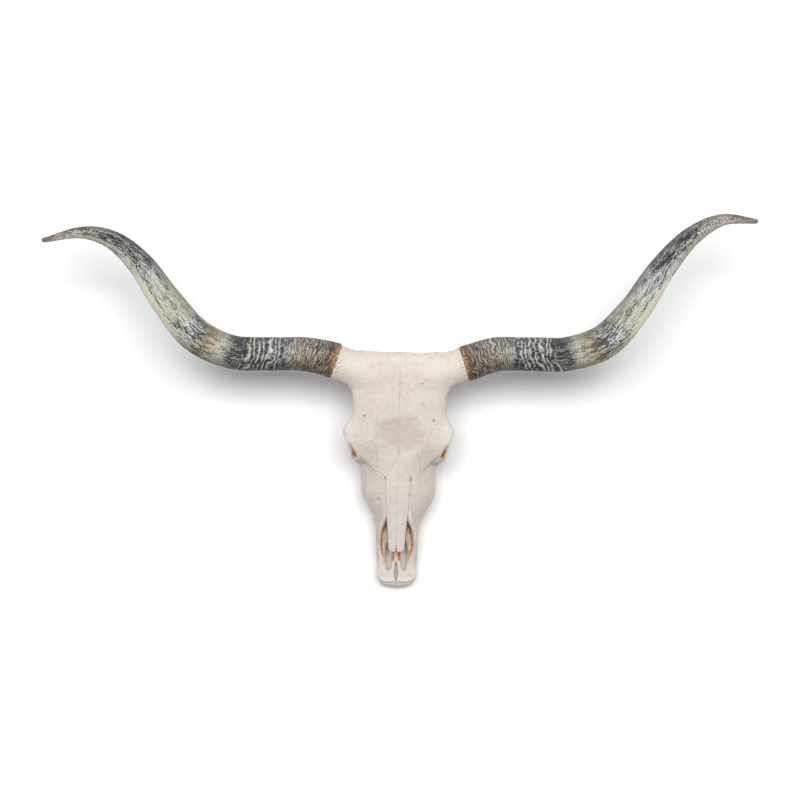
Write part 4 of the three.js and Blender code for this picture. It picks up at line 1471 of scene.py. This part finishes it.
# Cattle horn, raw and unpolished: keratin laid down in rings, satin on the smooth stretches and dull where
# it flakes, with bands of grey, blue-black, brown and cream.
def hornMaterial():
    material, tree = newMaterial("rawHornKeratin")
    space = addNode(tree, "ShaderNodeAttribute", out="Vector", attribute_name="hornSpace")
    fac = {}
    for key in hornLook["painted"]:
        fac[key] = addNode(tree, "ShaderNodeAttribute", out="Fac", attribute_name=key)
    noise = {}
    for key, (along, around) in hornLook["noise"].items():
        drawn = {"Vector": space, "Scale": (1 / along, 1 / around, 1 / around)}
        drawn = addNode(tree, "ShaderNodeMapping", drawn)
        settings = {"Vector": drawn, "Scale": 1.0, "Detail": 6.0, "Roughness": 0.62}
        noise[key] = addNode(tree, "ShaderNodeTexNoise", settings)
    crack = hornLook["crack"]
    drawn = {"Vector": space, "Scale": (1 / (crack * 1.4), 1 / crack, 1 / crack)}
    drawn = addNode(tree, "ShaderNodeMapping", drawn)
    cells = {"Vector": drawn, "Scale": 1.0}
    noise["crack"] = addNode(tree, "ShaderNodeTexVoronoi", cells, feature="DISTANCE_TO_EDGE")
    part = {}
    for key, source, start, end, low, high in (
        ("shift", "shift", 0.25, 0.75, -0.014, 0.014),
        ("speck", "speck", 0.3, 0.7, -0.16, 0.16),
        ("worn", "speck", 0.35, 0.6, 0.4, 1.0),
        ("patch", "patch", 0.32, 0.52, 0.0, 1.0),
        ("crack", "crack", 0.16, 0.02, 0.0, 0.75),
    ):
        limits = {0: noise[source], 1: start, 2: end, 3: low, 4: high}
        part[key] = addNode(tree, "ShaderNodeMapRange", limits)

    tone = {key: linear(hornLook[key]) for key in ("cream", "tan", "deep")}
    at = addNode(tree, "ShaderNodeMath", {0: fac["along"], 1: part["shift"]}, operation="ADD")
    bands = {"dark": [row[0:2] for row in hornBands], "pale": [row[0:3:2] for row in hornBands], **hornEdges}
    for key, stops in bands.items():
        stops = [(mm / hornLook["length"], colour) for mm, colour in stops]
        tone[key] = addNode(tree, "ShaderNodeValToRGB", {"Fac": at}, stops=stops)

    # fibres run along the horn, and round it where the growth rings are tight
    grain = noise["fibre"]
    for key, over in (("across", "ringed"), ("blotch", "blotch")):
        mix = {0: fac[key], 2: grain, 3: noise[over]}
        grain = addNode(tree, "ShaderNodeMix", mix, data_type="FLOAT")
    grain = addNode(tree, "ShaderNodeMath", {0: grain, 1: part["speck"]}, operation="ADD")
    for key, start, end, low, high in (("contrast", 0.42, 0.58, -1.0, 1.0), ("dull", 0.3, 0.7, 0.82, 0.66)):
        limits = {0: grain, 1: start, 2: end, 3: low, 4: high}
        part[key] = addNode(tree, "ShaderNodeMapRange", limits)
    for key, one, other in (
        ("contrast", part["contrast"], fac["streaky"]),
        ("crack", part["crack"], fac["crackle"]),
        ("cream", fac["cream"], part["worn"]),
        ("darkPoll", fac["toPoll"], 0.35),
        ("palePoll", fac["toPoll"], 0.5),
        ("paleNose", fac["toNose"], 0.8),
        ("groove", fac["groove"], 0.6),
    ):
        part[key] = addNode(tree, "ShaderNodeMath", {0: one, 1: other}, operation="MULTIPLY")
    streaked = addNode(tree, "ShaderNodeMath", {0: fac["share"], 1: part["contrast"]}, operation="ADD")
    part["dark"] = addNode(tree, "ShaderNodeMapRange", {0: streaked, 1: 0.28, 2: 0.72, 3: 0.0, 4: 1.0})

    # each row lays one tone over another by a share
    for result, share, under, over in (
        ("dark", "darkPoll", "dark", "pollSide"),
        ("pale", "palePoll", "pale", "pollSide"),
        ("pale", "paleNose", "pale", "noseSide"),
        ("skin", "dark", "pale", "dark"),
        ("skin", "crack", "skin", "deep"),
        # deep colour in the ring grooves, partly painted shade
        ("skin", "groove", "skin", "deep"),
        ("ring", "patch", "tan", "cream"),
        ("skin", "cream", "skin", "ring"),
    ):
        mix = {0: part[share], 6: tone[under], 7: tone[over]}
        tone[result] = addNode(tree, "ShaderNodeMix", mix, out=2, data_type="RGBA")
    height = addNode(tree, "ShaderNodeMath", {0: grain, 1: part["crack"]}, operation="SUBTRACT")
    bump = addNode(tree, "ShaderNodeBump", {"Height": height, "Strength": 0.5, "Distance": 0.0006})
    surface = {"Base Color": tone["skin"], "Roughness": part["dull"], "Normal": bump}
    finishSurface(tree, {**surface, "IOR": 1.54, "Metallic": 0.0})
    return material


studio = {
    "floorColour": "#f2f2f2",
    "floorPale": "#f6f6f6",
    "floorSize": 60.0,  # m
    # softboxes over the table: place, size in m, power in W
    "boxes": {
        "Key": ((0.05, 1.8, 8.1), (4.6, 3.0), 505.0),
        "FillLeft": ((-3.0, 2.2, 7.4), (4.0, 3.0), 120.0),
        "FillRight": ((3.0, 2.2, 7.4), (4.0, 3.0), 120.0),
    },
    "worldColour": "#f4f6fa",
    "worldPower": 0.27,
    "cameraPlace": (0.00793, 0.00394, 4.6),
    "cameraTurn": 1.23,  # degrees round the line of sight
    "lens": 95.357,
}


def makeStudio():
    half = studio["floorSize"] / 2
    mesh = bpy.data.meshes.new("Floor")
    corners = [(-half, -half, 0), (half, -half, 0), (half, half, 0), (-half, half, 0)]
    mesh.from_pydata(corners, [], [(0, 1, 2, 3)])
    material, tree = newMaterial("mattWhitePaper")
    place = addNode(tree, "ShaderNodeTexCoord", out="Object")
    tone = addNode(tree, "ShaderNodeTexNoise", {"Vector": place, "Scale": 2.0})
    mix = {0: tone, 6: linear(studio["floorColour"]), 7: linear(studio["floorPale"])}
    colour = addNode(tree, "ShaderNodeMix", mix, out=2, data_type="RGBA")
    finishSurface(tree, {"Base Color": colour, "Roughness": 0.9})
    mesh.materials.append(material)
    floor = bpy.data.objects.new("Floor", mesh)
    bpy.context.scene.collection.objects.link(floor)

    world = bpy.data.worlds.new("Studio")
    world.use_nodes = True
    bpy.context.scene.world = world
    sky = world.node_tree.nodes["Background"]
    sky.inputs["Color"].default_value = linear(studio["worldColour"])
    sky.inputs["Strength"].default_value = studio["worldPower"]

    for name, (place, size, power) in studio["boxes"].items():
        light = bpy.data.lights.new(name, "AREA")
        light.energy = power
        light.shape = "RECTANGLE"
        light.size, light.size_y = size
        lamp = bpy.data.objects.new(name, light)
        lamp.location = place
        lamp.rotation_euler = (-Vector(place)).to_track_quat("-Z", "Y").to_euler()
        bpy.context.scene.collection.objects.link(lamp)

    lens = bpy.data.cameras.new("Camera")
    lens.sensor_width = 36
    lens.lens = studio["lens"]
    camera = bpy.data.objects.new("Camera", lens)
    camera.location = studio["cameraPlace"]
    camera.rotation_euler = (0, 0, math.radians(studio["cameraTurn"]))
    bpy.context.scene.collection.objects.link(camera)
    bpy.context.scene.camera = camera
    bpy.context.scene.view_settings.view_transform = "Standard"
    print("studio made")


makeStudio()
makeBones()
makeTeeth()
hornSkin = hornMaterial()
for side in hornRows:
    makeHorn(side, hornSkin)
